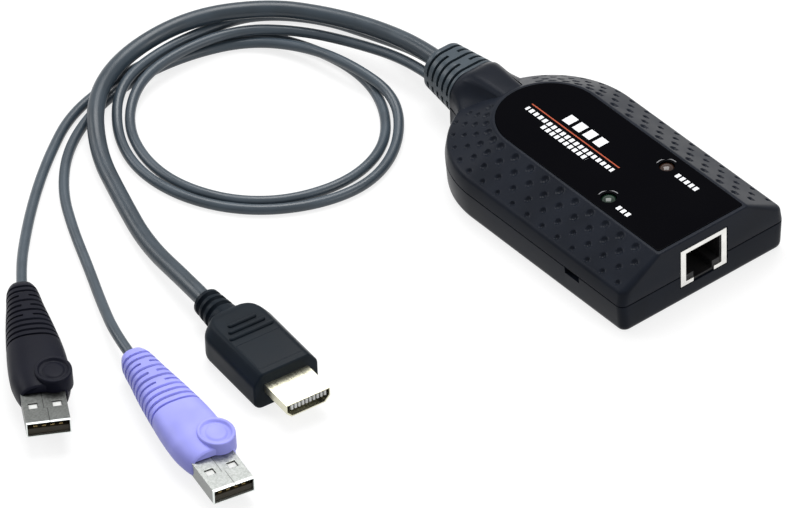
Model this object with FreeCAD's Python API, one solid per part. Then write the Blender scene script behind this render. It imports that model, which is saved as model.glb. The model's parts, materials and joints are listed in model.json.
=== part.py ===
import FreeCAD, Part
import math
import os

# A network-to-computer console adapter: a D-shaped two-part housing with a
# network socket in its flat front, a round rear that runs into a short neck, and
# a slotted boot from which one video cable and two data cables leave.
# Millimetres.  +X points out of the network socket, +Z up.  The origin is below
# the middle of housing and boot, on the surface that they rest on.

Vec = FreeCAD.Vector
X_AXIS = Vec(1, 0, 0)

# ---- housing -----------------------------------------------------------------
OVERALL_LENGTH = 112.2      # front face to the end of the cable boot
FRONT_X = OVERALL_LENGTH / 2
STRAIGHT_SIDE = 64.8        # front face to the centre of the round rear
REAR_X = FRONT_X - STRAIGHT_SIDE
BOTTOM_HALF = 28.7          # half widths from the underside up
PARTING_HALF = 29.3
SHOULDER_HALF = 28.6
RIM_HALF = 15.9
PARTING_Z = 9.15
SHOULDER_Z = 13.4
RIM_Z = 21.0
CORNER_RADIUS = 2.2         # upright corners beside the front face
BOTTOM_FILLET = 1.9
WALL = 2.0
FLOOR = 2.0
ROOF = 2.4
PARTING_GAP = 0.35          # shadow line between the two covers
PARTING_DEPTH = 0.5

# ---- neck, from the round rear to the boot ---------------------------------------
BOOT_LENGTH = 14.3
NECK_X = -FRONT_X + BOOT_LENGTH
NECK_ROOT = REAR_X - RIM_HALF - NECK_X      # boot to the rear of the top's rim
NECK_LOW_Z = 3.2
NECK_SECTIONS = [           # ahead of the boot, half width, side height, crest height
    (0.0, 8.9, 13.2, 18.6), (1.4, 9.0, 13.4, 18.6), (3.4, 10.0, 13.4, 18.6),
    (5.4, 11.6, 13.2, 18.6), (8.2, 15.5, 13.2, 18.7), (NECK_ROOT, 15.5, 13.2, 18.7)]

# ---- dented grip field on the slanted bevel -----------------------------------
DENT_ROWS = 4
DENT_FIRST_ROW = 1.85       # panel rim to the first row, across the bevel
DENT_ROW_STEP = 3.05
DENT_PITCH = 6.35           # along a row
DENT_FIRST_X = 7.7          # front face to the first dent of rows one and three
DENT_ARC_STEP = 12.0        # degrees round the rear
DENT_ARC_COUNT = 6
DENT_DIAMETER = 2.5
DENT_SHRINK = 0.3           # each row is this much smaller than the one above
DENT_DEPTH = 0.42

# ---- glossy top panel and its two light guides ----------------------------------
PANEL_HALF = 15.2           # half width of the recess it lies in
PANEL_FRONT_INSET = 1.2
PANEL_THICKNESS = 1.0
PANEL_RECESS = 0.9
PANEL_CLEARANCE = 0.1
PANEL_CORNER = 0.8
LIGHT_X = FRONT_X - 27.5
LIGHT_Y = 10.4
LIGHT_HOLE = 4.4
LIGHT_GUIDE = 4.0
LIGHT_FLANGE = 5.6
LIGHT_FLANGE_THICKNESS = 0.8
LIGHT_DOME = 0.6
LAMP_SIZE = (3.2, 1.6, 0.9)

# ---- circuit board, held between the bosses and the posts -------------------------
BOARD_Z = 3.6
BOARD_THICKNESS = 1.6
BOARD_TOP = BOARD_Z + BOARD_THICKNESS
BOARD_SIDE_GAP = 0.7        # to the inside of the side wall, at the underside
BOARD_HALF = BOTTOM_HALF - WALL - BOARD_SIDE_GAP
BOARD_FRONT_GAP = 0.6       # to the inside of the front wall
BOARD_REAR_X = REAR_X - 15.9
BOARD_CORNER = 1.5

# ---- screws that clamp the covers and the board ------------------------------------
SCREW_FRONT = (FRONT_X - 11.7, 22.5)
SCREW_REAR = (REAR_X - 5.9, 19.0)
SCREW_PLACES = [(x, side * y) for x, y in (SCREW_FRONT, SCREW_REAR) for side in (1, -1)]
SCREW_DIAMETER = 2.6
SCREW_LENGTH = 11.0
SCREW_HEAD = 4.8
SCREW_HEAD_HEIGHT = 1.6
SCREW_HEAD_RECESS = 0.5     # underside to the face of the head
SCREW_CROSS = (2.6, 0.6, 0.7)
SCREW_CLEARANCE = 0.3
BOSS_DIAMETER = 8.0
POST_DIAMETER = 6.0
COUNTERBORE = SCREW_HEAD + 1.0

# ---- network socket ------------------------------------------------------------------
JACK_WIDTH = 16.4
JACK_HEIGHT = 12.4
JACK_DEPTH = 21.0
JACK_SHEET = 0.3
JACK_FRAME = 0.5            # thickness of the front frame, along X
JACK_WINDOW_WIDTH = 12.6
JACK_WINDOW_TOP = 1.45      # width of the bar above the window
JACK_WINDOW_FOOT = 1.25     # height of the two feet below the window
JACK_NOTCH_WIDTH = 7.2
JACK_GAP = 0.3              # housing to socket, all round
CAVITY_WIDTH = 12.0
CAVITY_DEPTH = 12.0
CAVITY_FLOOR = 3.0          # above the board
CAVITY_TOP_INSET = 1.8      # below the top of the socket
LATCH_WIDTH = 6.6
LATCH_FLOOR = 0.7
CONTACT_COUNT = 8
CONTACT_PITCH = 1.02
CONTACT_WIDTH = 0.46
CONTACT_THICKNESS = 0.3
CONTACT_REACH = 8.5
CONTACT_DROP = 2.4

# ---- recovery switch behind the slot in the lower wall --------------------------------
SLOT_FRONT_GAP = 21.0       # front face to the middle of the slot
SLOT_X = FRONT_X - SLOT_FRONT_GAP
SLOT_LENGTH = 6.0
SLOT_HEIGHT = 2.25
SWITCH_SIZE = (8.6, 3.8, 4.2)
SWITCH_SHEET = 0.5
SWITCH_TRAVEL = 2.0
SLIDER_LENGTH = 3.8
SLIDER_THICKNESS = 1.2
SLIDER_HEIGHT = 2.0
KNOB_WIDTH = 2.0
KNOB_HEIGHT = 1.6
KNOB_RECESS = 1.5           # outer wall to the tip of the knob
SWITCH_PLAY = 0.25

# ---- cable boot -------------------------------------------------------------------------
BOOT_Z = 11.2
BOOT_SECTIONS = [           # from the end, half width, half height
    (0.0, 6.3, 6.05), (0.7, 7.0, 6.75), (BOOT_LENGTH, 8.9, 7.4)]
BOOT_STUB = (4.9, 3.7)      # half width, half height
BOOT_FLANGE = (5.7, 4.5, 1.6)   # the same, then thickness
BOOT_SLOT_ROWS = 5
BOOT_SLOT_PITCH = 2.57
BOOT_SLOT_WIDTH = 0.95
BOOT_SLOT_DEPTH = 1.7
BOOT_SLOT_FIRST = 2.6       # boot end to the first slot's middle
BOOT_SIDE_BRIDGE = 1.6      # left standing at both sides of every row
BOOT_TOP_BRIDGE = 3.2       # left standing at the top of every second row

# ---- cables: section, and where each leaves the boot's end face ------------------------
VIDEO_CABLE = 5.0
DATA_CABLE = 3.0
VIDEO_EXIT = (-0.4, 12.4)
BLACK_EXIT = (-3.3, 8.2)
LAVENDER_EXIT = (2.0, 7.8)
PLUG_CABLE_SEAT = 4.0       # depth of the bore that holds a cable in its plug

# ---- plugs: entry of the cable, then heading and nose-up tilt in degrees ---------------
VIDEO_PLUG_PLACE = (-23.2, -109.7, 5.9, -6.0, 0.0)
BLACK_PLUG_PLACE = (-61.55, -143.82, 4.2, -30.0, 3.0)
LAVENDER_PLUG_PLACE = (-18.1, -139.0, 5.6, -12.0, 0.0)

# data plug, along its own axis from the cable entry
DATA_MOLD_LENGTH = 50.0
DATA_MOLD_SECTIONS = [      # distance, half width, half height
    (0.0, 3.5, 3.4), (3.0, 4.4, 4.1), (10.0, 5.3, 4.7), (20.0, 6.9, 5.2),
    (31.0, 8.3, 5.5), (41.0, 8.7, 5.4), (DATA_MOLD_LENGTH, 7.3, 4.6)]
DATA_FRONT_DISH = 2.2       # the front edge curves back this far in the middle
DATA_SHELL_WIDTH = 12.0
DATA_SHELL_HEIGHT = 4.5
DATA_SHELL_OUT = 12.3
DATA_SHELL_LENGTH = 18.7
DATA_SHELL_SHEET = 0.3
DATA_WINDOW = (2.4, 2.5)    # along and across the plug
DATA_WINDOW_BACK = 7.7      # shell front to the middle of the windows
DATA_WINDOW_SIDE = 3.25
DATA_TONGUE_HEIGHT = 1.85
DATA_TONGUE_RECESS = 0.9
DATA_PADS = 4
DATA_PAD_PITCH = 2.3
DATA_PAD = (7.0, 1.1, 0.25)
GROOVE_COUNT = 11
GROOVE_FIRST = 3.4
GROOVE_PITCH = 2.35
GROOVE_WIDTH = 0.7
GROOVE_DEPTH = 0.55
GROOVE_SPLIT = 3.0          # gap left at the top of the split grooves
GROOVE_SPLIT_ROWS = (2, 4, 6)
RING_X = 43.2
RING_Y = 3.4
RING_HALF = (5.9, 5.1)
RING_RIM = 1.1
RING_RISE = 0.45            # above the crown of the plug
RING_DISH = 0.8

# video plug, along its own axis from the cable entry
VIDEO_BOOT_LENGTH = 11.0
VIDEO_BOOT_RADIUS = (4.1, 4.9)
VIDEO_BOOT_GROOVES = 3
VIDEO_MOLD_LENGTH = 29.5
VIDEO_MOLD_HALF = 10.2
VIDEO_TOP_HALF = 7.6
VIDEO_TOP_Z = 5.8           # half height
VIDEO_SLOPE_Z = 2.4
VIDEO_BOTTOM_HALF = 8.6
VIDEO_LOW_Z = -4.2
VIDEO_SHOULDER = 6.0
VIDEO_SHELL_WIDTH = 13.9
VIDEO_SHELL_HEIGHT = 4.45
VIDEO_SHELL_CHAMFER = (1.6, 1.7)
VIDEO_SHELL_OUT = 11.0
VIDEO_SHELL_LENGTH = 18.0
VIDEO_SHELL_SHEET = 0.35
VIDEO_TONGUE = (10.9, 1.2)
VIDEO_TONGUE_RECESS = 1.2
VIDEO_PADS = (10, 9)        # top and bottom row
VIDEO_PAD_PITCH = 1.0
VIDEO_PAD = (6.0, 0.45, 0.25)
GRIP_BARS = [(18.6, 8.8), (21.0, 11.4), (23.5, 13.8)]   # distance, length
GRIP_BAR_WIDTH = 1.0
GRIP_BAR_RISE = 0.4
GRIP_RECESS = (26.6, 38.4, 7.0, 0.2)                     # start, end, half width, depth

# ---- routes of the three cables, exit to plug, on their centre lines ------------------
VIDEO_ROUTE = [
    (-56.1, -0.4, 12.4), (-64.1, -0.4, 12.4), (-79.6, -3.0, 11.3), (-95.1, -9.0, 10.4),
    (-110.6, -18.4, 9.7), (-121.6, -37.5, 9.2), (-123.6, -59.0, 6.2), (-114.1, -78.5, 6.5),
    (-96.6, -91.0, 3.2), (-76.6, -98.0, 2.5), (-56.1, -104.8, 2.6), (-33.15, -108.65, 5.9),
    (-19.22, -110.12, 5.9)]
BLACK_ROUTE = [
    (-56.1, -3.3, 8.2), (-66.6, -3.3, 8.2), (-86.1, -8.0, 5.6), (-101.6, -16.0, 4.9),
    (-112.6, -28.5, 5.1), (-115.6, -46.0, 5.2), (-113.6, -63.0, 4.4), (-103.6, -75.5, 1.5),
    (-87.1, -82.0, 1.5), (-71.1, -81.5, 1.5), (-55.6, -74.0, 1.5), (-45.6, -61.0, 1.5),
    (-41.6, -43.5, 1.5), (-47.6, -27.5, 1.5), (-61.1, -16.5, 1.5), (-77.1, -12.0, 1.5),
    (-94.1, -14.5, 1.5), (-110.1, -22.0, 1.5), (-118.6, -36.5, 1.5), (-121.6, -53.5, 1.5),
    (-120.6, -71.0, 1.5), (-116.6, -87.0, 1.5), (-107.1, -101.5, 1.5), (-97.1, -114.5, 1.5),
    (-85.1, -127.5, 1.9), (-69.33, -139.33, 3.73), (-58.091, -145.817, 4.409)]
LAVENDER_ROUTE = [
    (-56.1, 2.0, 7.8), (-66.6, 2.0, 7.8), (-86.6, 1.0, 2.6), (-104.1, -4.5, 1.5),
    (-117.6, -16.5, 1.5), (-117.6, -33.0, 5.6), (-119.6, -50.5, 4.9), (-115.1, -69.0, 5.1),
    (-102.1, -80.5, 1.5), (-84.6, -86.5, 1.5), (-66.1, -84.0, 1.5), (-50.1, -74.0, 1.5),
    (-40.6, -58.0, 1.5), (-38.1, -40.5, 1.5), (-45.6, -24.0, 1.5), (-60.6, -12.5, 3.6),
    (-78.6, -15.0, 6.0), (-96.1, -18.5, 3.9), (-110.6, -27.5, 1.5), (-116.6, -44.5, 1.5),
    (-117.6, -62.5, 1.5), (-113.6, -80.0, 1.5), (-104.6, -95.5, 1.5), (-91.1, -107.5, 1.5),
    (-75.6, -115.5, 1.5), (-59.1, -122.5, 1.5), (-45.1, -129.0, 2.1),
    (-27.88, -136.92, 5.6), (-14.19, -139.83, 5.6)]


# ==== small helpers =======================================================================
def box(x0, x1, y0, y1, z0, z1):
    """Box between two corners."""
    return Part.makeBox(x1 - x0, y1 - y0, z1 - z0, Vec(x0, y0, z0))


def upright(radius, x, y, z0, z1):
    """Vertical cylinder."""
    return Part.makeCylinder(radius, z1 - z0, Vec(x, y, z0))


def along_x(radius, y, z, x0, x1):
    """Cylinder parallel to X."""
    return Part.makeCylinder(radius, x1 - x0, Vec(x0, y, z), X_AXIS)


def polygon(points):
    """Closed wire through the points."""
    return Part.makePolygon([Vec(*p) for p in points] + [Vec(*points[0])])


def extrude(wire, direction):
    return Part.Face(wire).extrude(direction)


def fused(shapes):
    """One solid from shapes that touch or overlap."""
    return shapes[0].multiFuse(shapes[1:]).removeSplitter()


def save(name, shape):
    """Write one node, after a check that it is sound."""
    if not shape.isValid() or shape.Volume <= 0 or not shape.Solids:
        raise RuntimeError(name + " is not a sound solid")
    shape.exportStep("parts/" + name + ".step")
    print("%-26s %2d solids %9.2f mm3" % (name, len(shape.Solids), shape.Volume))


# ==== housing ===============================================================================
def d_outline(half, z, corner, front):
    """D-shaped outline at height z: flat front with rounded corners, round rear."""
    side = Vec(REAR_X, -half, z)
    bend = corner * (1 - math.sqrt(0.5))
    a, b = Vec(front - corner, -half, z), Vec(front, -half + corner, z)
    c, d = Vec(front, half - corner, z), Vec(front - corner, half, z)
    e = Vec(REAR_X, half, z)
    return Part.Wire([
        Part.LineSegment(side, a).toShape(),
        Part.Arc(a, Vec(front - bend, -half + bend, z), b).toShape(),
        Part.LineSegment(b, c).toShape(),
        Part.Arc(c, Vec(front - bend, half - bend, z), d).toShape(),
        Part.LineSegment(d, e).toShape(),
        Part.Arc(e, Vec(REAR_X - half, 0, z), side).toShape()])


def neck_section(x, half, low, side, crest):
    """Neck section at x: flat below, straight sides, one arc over the top."""
    a, b = Vec(x, -half, low), Vec(x, half, low)
    c, d = Vec(x, half, side), Vec(x, -half, side)
    return Part.Wire([
        Part.LineSegment(a, b).toShape(), Part.LineSegment(b, c).toShape(),
        Part.Arc(c, Vec(x, 0, crest), d).toShape(), Part.LineSegment(d, a).toShape()])


def housing_form(inset, drop, lift):
    """Body and neck, with walls moved in, the top lowered and the base raised."""
    return housing_body(inset, drop, lift).fuse(housing_neck(inset, lift)).removeSplitter()


def outer_form():
    """Outside of the housing, with its rounded bottom edge."""
    body = housing_body(0, 0, 0)
    base_edges = [e for e in body.Edges if e.BoundBox.ZMax < 0.01]
    body = body.makeFillet(BOTTOM_FILLET, base_edges)
    return body.fuse(housing_neck(0, 0)).removeSplitter()


def housing_body(inset, drop, lift):
    """D-shaped body in ruled storeys: side wall, slight shoulder, slanted bevel."""
    front = FRONT_X - inset
    corner = max(CORNER_RADIUS - inset / 2, 0.4)
    return Part.makeLoft([
        d_outline(BOTTOM_HALF - inset, lift, corner, front),
        d_outline(PARTING_HALF - inset, PARTING_Z, corner, front),
        d_outline(SHOULDER_HALF - inset, SHOULDER_Z - drop / 2, corner, front),
        d_outline(RIM_HALF - inset, RIM_Z - drop, corner / 2, front)], True, True)


def housing_neck(inset, lift):
    """Short neck between the boot and the round rear, which it enters."""
    rings = []
    for ahead, half, side, crest in NECK_SECTIONS:
        rings.append(neck_section(NECK_X + ahead + inset, half - inset, NECK_LOW_Z + lift,
                                  side - inset, crest - inset))
    return Part.makeLoft(rings, True, True)


def dent_centres():
    """Middle of each dent on the bevel, its outward normal and its diameter."""
    run = SHOULDER_HALF - RIM_HALF
    fall = RIM_Z - SHOULDER_Z
    slope = math.hypot(run, fall)
    for row in range(DENT_ROWS):
        across = DENT_FIRST_ROW + row * DENT_ROW_STEP
        reach = RIM_HALF + across
        z = RIM_Z - across * fall / run
        odd = row % 2
        diameter = DENT_DIAMETER - row * DENT_SHRINK
        first = DENT_FIRST_X - odd * DENT_PITCH / 2
        count = int((STRAIGHT_SIDE - first) / DENT_PITCH + 0.5 * (1 - odd) + odd)
        for side in (-1, 1):
            for i in range(count):
                yield (Vec(FRONT_X - first - i * DENT_PITCH, side * reach, z),
                       Vec(0, side * fall / slope, run / slope), diameter)
            for k in range(DENT_ARC_COUNT - odd):
                turn = math.radians((k + odd / 2) * DENT_ARC_STEP)
                out = Vec(-math.sin(turn), side * math.cos(turn), 0)
                yield (Vec(REAR_X, 0, z) + out * reach,
                       out * (fall / slope) + Vec(0, 0, run / slope), diameter)


def dents():
    """Balls that press the shallow round dents into the bevel."""
    balls = []
    for centre, normal, diameter in dent_centres():
        radius = (diameter ** 2 / 4 + DENT_DEPTH ** 2) / (2 * DENT_DEPTH)
        balls.append(Part.makeSphere(radius, centre + normal * (radius - DENT_DEPTH)))
    return balls


def jack_cutout():
    """Hole that both covers leave for the network socket."""
    half = JACK_WIDTH / 2 + JACK_GAP
    return box(FRONT_X - 2 * WALL, FRONT_X + 1, -half, half,
               BOARD_TOP - JACK_GAP, BOARD_TOP + JACK_HEIGHT + JACK_GAP)


def neck_mouth():
    """Hole in the end of the neck that the boot's stub fills."""
    return boot_block(BOOT_STUB[0], BOOT_STUB[1], NECK_X - 1, NECK_X + WALL + 1)


def make_top_cover():
    above = box(-OVERALL_LENGTH, OVERALL_LENGTH, -OVERALL_LENGTH, OVERALL_LENGTH,
                PARTING_Z, 2 * RIM_Z)
    cover = outer_form().common(above).cut(housing_form(WALL, ROOF, FLOOR))
    inside = housing_form(WALL / 2, ROOF / 2, FLOOR)
    posts = [upright(POST_DIAMETER / 2, x, y, BOARD_TOP, RIM_Z).common(inside)
             for x, y in SCREW_PLACES]
    cover = fused([cover] + posts)
    recess = extrude(d_outline(PANEL_HALF, RIM_Z - PANEL_RECESS, PANEL_CORNER,
                               FRONT_X - PANEL_FRONT_INSET), Vec(0, 0, 2 * PANEL_RECESS))
    lights = [upright(LIGHT_HOLE / 2, LIGHT_X, side * LIGHT_Y, BOARD_TOP, 2 * RIM_Z)
              for side in (-1, 1)]
    pilots = [upright(SCREW_DIAMETER / 2, x, y, 0, screw_tip_z()) for x, y in SCREW_PLACES]
    return cover.cut([recess, jack_cutout(), neck_mouth()] + lights + pilots + dents())


def screw_tip_z():
    return SCREW_HEAD_RECESS + SCREW_HEAD_HEIGHT + SCREW_LENGTH


def wall_slot():
    """Opening in the near side wall, just below the parting line."""
    return box(SLOT_X - SLOT_LENGTH / 2, SLOT_X + SLOT_LENGTH / 2,
               -PARTING_HALF - 1, -PARTING_HALF + 2 * WALL,
               PARTING_Z - SLOT_HEIGHT, PARTING_Z + 1)


def make_bottom_cover():
    below = box(-OVERALL_LENGTH, OVERALL_LENGTH, -OVERALL_LENGTH, OVERALL_LENGTH,
                -1, PARTING_Z)
    outer = outer_form().common(below)
    line = box(-OVERALL_LENGTH, OVERALL_LENGTH, -OVERALL_LENGTH, OVERALL_LENGTH,
               PARTING_Z - PARTING_GAP, PARTING_Z + 1).cut(housing_form(PARTING_DEPTH, 0, 0))
    cover = outer.cut([housing_form(WALL, ROOF, FLOOR), line])
    bosses = [upright(BOSS_DIAMETER / 2, x, y, FLOOR / 2, BOARD_Z) for x, y in SCREW_PLACES]
    cover = fused([cover] + bosses)
    seat_z = SCREW_HEAD_RECESS + SCREW_HEAD_HEIGHT
    holes = []
    for x, y in SCREW_PLACES:
        holes.append(upright(COUNTERBORE / 2, x, y, -1, seat_z))
        holes.append(upright((SCREW_DIAMETER + SCREW_CLEARANCE) / 2, x, y, -1, BOARD_Z + 1))
    return cover.cut(holes + [jack_cutout(), neck_mouth(), wall_slot()])


def make_label_panel():
    plate = extrude(d_outline(PANEL_HALF - PANEL_CLEARANCE, RIM_Z - PANEL_RECESS,
                              PANEL_CORNER, FRONT_X - PANEL_FRONT_INSET - PANEL_CLEARANCE),
                    Vec(0, 0, PANEL_THICKNESS))
    return plate.cut([upright(LIGHT_HOLE / 2, LIGHT_X, side * LIGHT_Y, 0, 2 * RIM_Z)
                      for side in (-1, 1)])


def make_light_guide(side):
    """Clear rod from the lamp to the panel, with a domed end and a flange."""
    y = side * LIGHT_Y
    top = RIM_Z - PANEL_RECESS + PANEL_THICKNESS
    lamp_top = BOARD_TOP + LAMP_SIZE[2]
    roof = RIM_Z - ROOF
    radius = LIGHT_GUIDE / 2
    ball = (radius ** 2 + LIGHT_DOME ** 2) / (2 * LIGHT_DOME)
    dome = Part.makeSphere(ball, Vec(LIGHT_X, y, top - ball))
    rod = upright(radius, LIGHT_X, y, top - 2 * LIGHT_DOME, top).common(dome)
    return fused([upright(radius, LIGHT_X, y, lamp_top, top - 2 * LIGHT_DOME), rod,
                  upright(LIGHT_FLANGE / 2, LIGHT_X, y, roof - LIGHT_FLANGE_THICKNESS, roof)])


def make_lamp(side):
    length, width, height = LAMP_SIZE
    y = side * LIGHT_Y
    return box(LIGHT_X - length / 2, LIGHT_X + length / 2, y - width / 2, y + width / 2,
               BOARD_TOP, BOARD_TOP + height)


# ==== inside the housing ====================================================================
def make_board():
    plate = extrude(d_outline(BOARD_HALF, BOARD_Z, BOARD_CORNER,
                              FRONT_X - WALL - BOARD_FRONT_GAP), Vec(0, 0, BOARD_THICKNESS))
    plate = plate.common(box(BOARD_REAR_X, FRONT_X, -BOARD_HALF, BOARD_HALF, 0, RIM_Z))
    radius = (SCREW_DIAMETER + SCREW_CLEARANCE) / 2
    return plate.cut([upright(radius, x, y, 0, RIM_Z) for x, y in SCREW_PLACES])


def on_board(x, y, length, width, height):
    """Block that stands on the board, centred on (x, y)."""
    return box(x - length / 2, x + length / 2, y - width / 2, y + width / 2,
               BOARD_TOP, BOARD_TOP + height)


JACK_REAR_X = FRONT_X - JACK_DEPTH
CHIPS = {
    "video_chip": (REAR_X + 18.1, 0.0, 14.0, 14.0, 1.4),
    "console_processor": (REAR_X + 1.1, -9.0, 10.0, 10.0, 1.4),
    "memory_chip": (REAR_X + 1.1, 8.0, 8.0, 6.0, 1.0),
    "network_transformer": (JACK_REAR_X - 8.0, 0.0, 9.5, 15.0, 5.6)}
CAN_PLACES = [(REAR_X + 18.1, 16.0), (REAR_X + 18.1, -16.0), (REAR_X + 28.1, 18.0)]
CAN_RADIUS = 2.6
CAN_HEIGHT = 5.8
CAN_BASE = (6.0, 0.8)
CRYSTAL = (REAR_X + 30.1, -16.0, 11.0, 4.4, 3.4)
SMALL_PARTS = [(REAR_X + x, y) for x in (7.6, 9.8, 26.4, 28.6) for y in (-12.5, -4.0, 4.0, 12.5)]
SMALL_PART_SIZE = (1.6, 0.9, 0.6)
HEADER_X = REAR_X - 9.9
VIDEO_HEADER = (HEADER_X, 0.0, 5.0, 12.0, 4.2)
DATA_HEADERS = [(HEADER_X, 11.0, 5.0, 7.0, 4.2), (HEADER_X, -11.0, 5.0, 7.0, 4.2)]
LEAD_SHRINK = 0.8           # a lead inside is this much of its cable


def make_capacitors():
    cans = []
    side, thick = CAN_BASE
    for x, y in CAN_PLACES:
        can = upright(CAN_RADIUS, x, y, BOARD_TOP + thick, BOARD_TOP + CAN_HEIGHT)
        can = can.makeFillet(0.4, [can.Edges[0]])
        cans.append(fused([on_board(x, y, side, side, thick), can]))
    return Part.makeCompound(cans)


def make_crystal():
    x, y, length, width, height = CRYSTAL
    block = on_board(x, y, length, width, height)
    return block.makeFillet(width / 2 - 0.1, [e for e in block.Edges
                                              if e.BoundBox.ZLength > height - 0.01])


def make_lead(exit_place, diameter, header):
    """Cable core inside the neck, from the boot's flange to its header."""
    x, y, length, width, height = header
    radius = diameter * LEAD_SHRINK / 2
    start = Vec(NECK_X + WALL + BOOT_FLANGE[2], exit_place[0], exit_place[1])
    end = Vec(x - length / 2, y, BOARD_TOP + height / 2)
    rings = [Part.Wire(Part.makeCircle(radius, p, X_AXIS)) for p in (start, end)]
    return Part.makeLoft(rings, True, True)


def make_screw(x, y):
    base = SCREW_HEAD_RECESS
    head = upright(SCREW_HEAD / 2, x, y, base, base + SCREW_HEAD_HEIGHT)
    length, width, depth = SCREW_CROSS
    cross = [box(x - length / 2, x + length / 2, y - width / 2, y + width / 2,
                 base - 1, base + depth),
             box(x - width / 2, x + width / 2, y - length / 2, y + length / 2,
                 base - 1, base + depth)]
    shank = upright(SCREW_DIAMETER / 2, x, y, base + SCREW_HEAD_HEIGHT, screw_tip_z())
    return fused([head, shank]).cut(cross)


# ==== network socket ============================================================================
def jack_box(inset, x0, x1, low):
    """Block inside the socket's outer form, inset from its sides and top."""
    half = JACK_WIDTH / 2 - inset
    return box(x0, x1, -half, half, BOARD_TOP + low, BOARD_TOP + JACK_HEIGHT - inset)


def make_jack_shield():
    can = jack_box(0, JACK_REAR_X, FRONT_X, 0)
    hollow = jack_box(JACK_SHEET, JACK_REAR_X + JACK_SHEET, FRONT_X - JACK_FRAME, -1)
    half = JACK_WINDOW_WIDTH / 2
    window = box(FRONT_X - 1, FRONT_X + 1, -half, half, BOARD_TOP + JACK_WINDOW_FOOT,
                 BOARD_TOP + JACK_HEIGHT - JACK_WINDOW_TOP)
    notch = box(FRONT_X - 1, FRONT_X + 1, -JACK_NOTCH_WIDTH / 2, JACK_NOTCH_WIDTH / 2,
                BOARD_TOP - 1, BOARD_TOP + JACK_WINDOW_FOOT + 1)
    return can.cut([hollow, window, notch])


def jack_cavity():
    """Room for the mating network plug and its latch."""
    front = FRONT_X - JACK_FRAME
    half = CAVITY_WIDTH / 2
    room = box(front - CAVITY_DEPTH, front + 1, -half, half, BOARD_TOP + CAVITY_FLOOR,
               BOARD_TOP + JACK_HEIGHT - CAVITY_TOP_INSET)
    latch = box(front - CAVITY_DEPTH, front + 1, -LATCH_WIDTH / 2, LATCH_WIDTH / 2,
                BOARD_TOP + LATCH_FLOOR, BOARD_TOP + CAVITY_FLOOR + 1)
    return [room, latch]


def make_jack_insert():
    block = jack_box(JACK_SHEET, JACK_REAR_X + JACK_SHEET, FRONT_X - JACK_FRAME, 0)
    return block.cut(jack_cavity())


def make_jack_contacts():
    """Eight springs that slope down from the roof of the cavity."""
    top = BOARD_TOP + JACK_HEIGHT - CAVITY_TOP_INSET
    front = FRONT_X - JACK_FRAME - 1.0
    profile = [(front, top), (front - CONTACT_REACH, top - CONTACT_DROP),
               (front - CONTACT_REACH, top - CONTACT_DROP - CONTACT_THICKNESS),
               (front, top - CONTACT_THICKNESS), (front + 0.4, top)]
    springs = []
    for i in range(CONTACT_COUNT):
        y = (i - (CONTACT_COUNT - 1) / 2) * CONTACT_PITCH - CONTACT_WIDTH / 2
        wire = polygon([(x, y, z) for x, z in profile])
        springs.append(extrude(wire, Vec(0, CONTACT_WIDTH, 0)))
    return Part.makeCompound(springs)


# ==== recovery switch =============================================================================
def switch_front():
    """Y of the switch's open face, at the edge of the board."""
    return -BOARD_HALF


def slider_z():
    """Middle height of slider and knob, in line with the slot in the wall."""
    return PARTING_Z - SLOT_HEIGHT / 2


def make_switch_body():
    length, depth, height = SWITCH_SIZE
    y0 = switch_front()
    can = box(SLOT_X - length / 2, SLOT_X + length / 2, y0, y0 + depth,
              BOARD_TOP, BOARD_TOP + height)
    room_half = (SLIDER_LENGTH + SWITCH_TRAVEL) / 2 + SWITCH_PLAY
    z_half = SLIDER_HEIGHT / 2 + SWITCH_PLAY
    y_in = y0 + SWITCH_SHEET
    room = box(SLOT_X - room_half, SLOT_X + room_half,
               y_in, y_in + SLIDER_THICKNESS + 2 * SWITCH_PLAY,
               slider_z() - z_half, slider_z() + z_half)
    gate_half = (KNOB_WIDTH + SWITCH_TRAVEL) / 2 + SWITCH_PLAY
    gate_z = KNOB_HEIGHT / 2 + SWITCH_PLAY
    gate = box(SLOT_X - gate_half, SLOT_X + gate_half, y0 - 1, y_in + SWITCH_PLAY,
               slider_z() - gate_z, slider_z() + gate_z)
    return can.cut([room, gate])


def make_switch_slider():
    """Plate and knob, at the end of the travel that is nearer the cables."""
    x = SLOT_X - SWITCH_TRAVEL / 2
    y0 = switch_front() + SWITCH_SHEET + SWITCH_PLAY
    plate = box(x - SLIDER_LENGTH / 2, x + SLIDER_LENGTH / 2, y0, y0 + SLIDER_THICKNESS,
                slider_z() - SLIDER_HEIGHT / 2, slider_z() + SLIDER_HEIGHT / 2)
    knob = box(x - KNOB_WIDTH / 2, x + KNOB_WIDTH / 2, -PARTING_HALF + KNOB_RECESS, y0 + 0.2,
               slider_z() - KNOB_HEIGHT / 2, slider_z() + KNOB_HEIGHT / 2)
    return fused([plate, knob])


# ==== cable boot ===================================================================================
def boot_ring(x, half_width, half_height):
    """Rounded section of the boot at x."""
    ring = oval_section(x, half_width, half_height)
    ring.translate(Vec(0, 0, BOOT_Z))
    return ring


def boot_block(half_width, half_height, x0, x1):
    """Straight block with the boot's rounded section."""
    return extrude(boot_ring(x0, half_width, half_height), Vec(x1 - x0, 0, 0))


def boot_form(inset):
    """Outside of the boot, drawn in by inset all round."""
    return Part.makeLoft([boot_ring(-FRONT_X + x, w - inset, h - inset)
                          for x, w, h in BOOT_SECTIONS], True, True)


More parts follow.
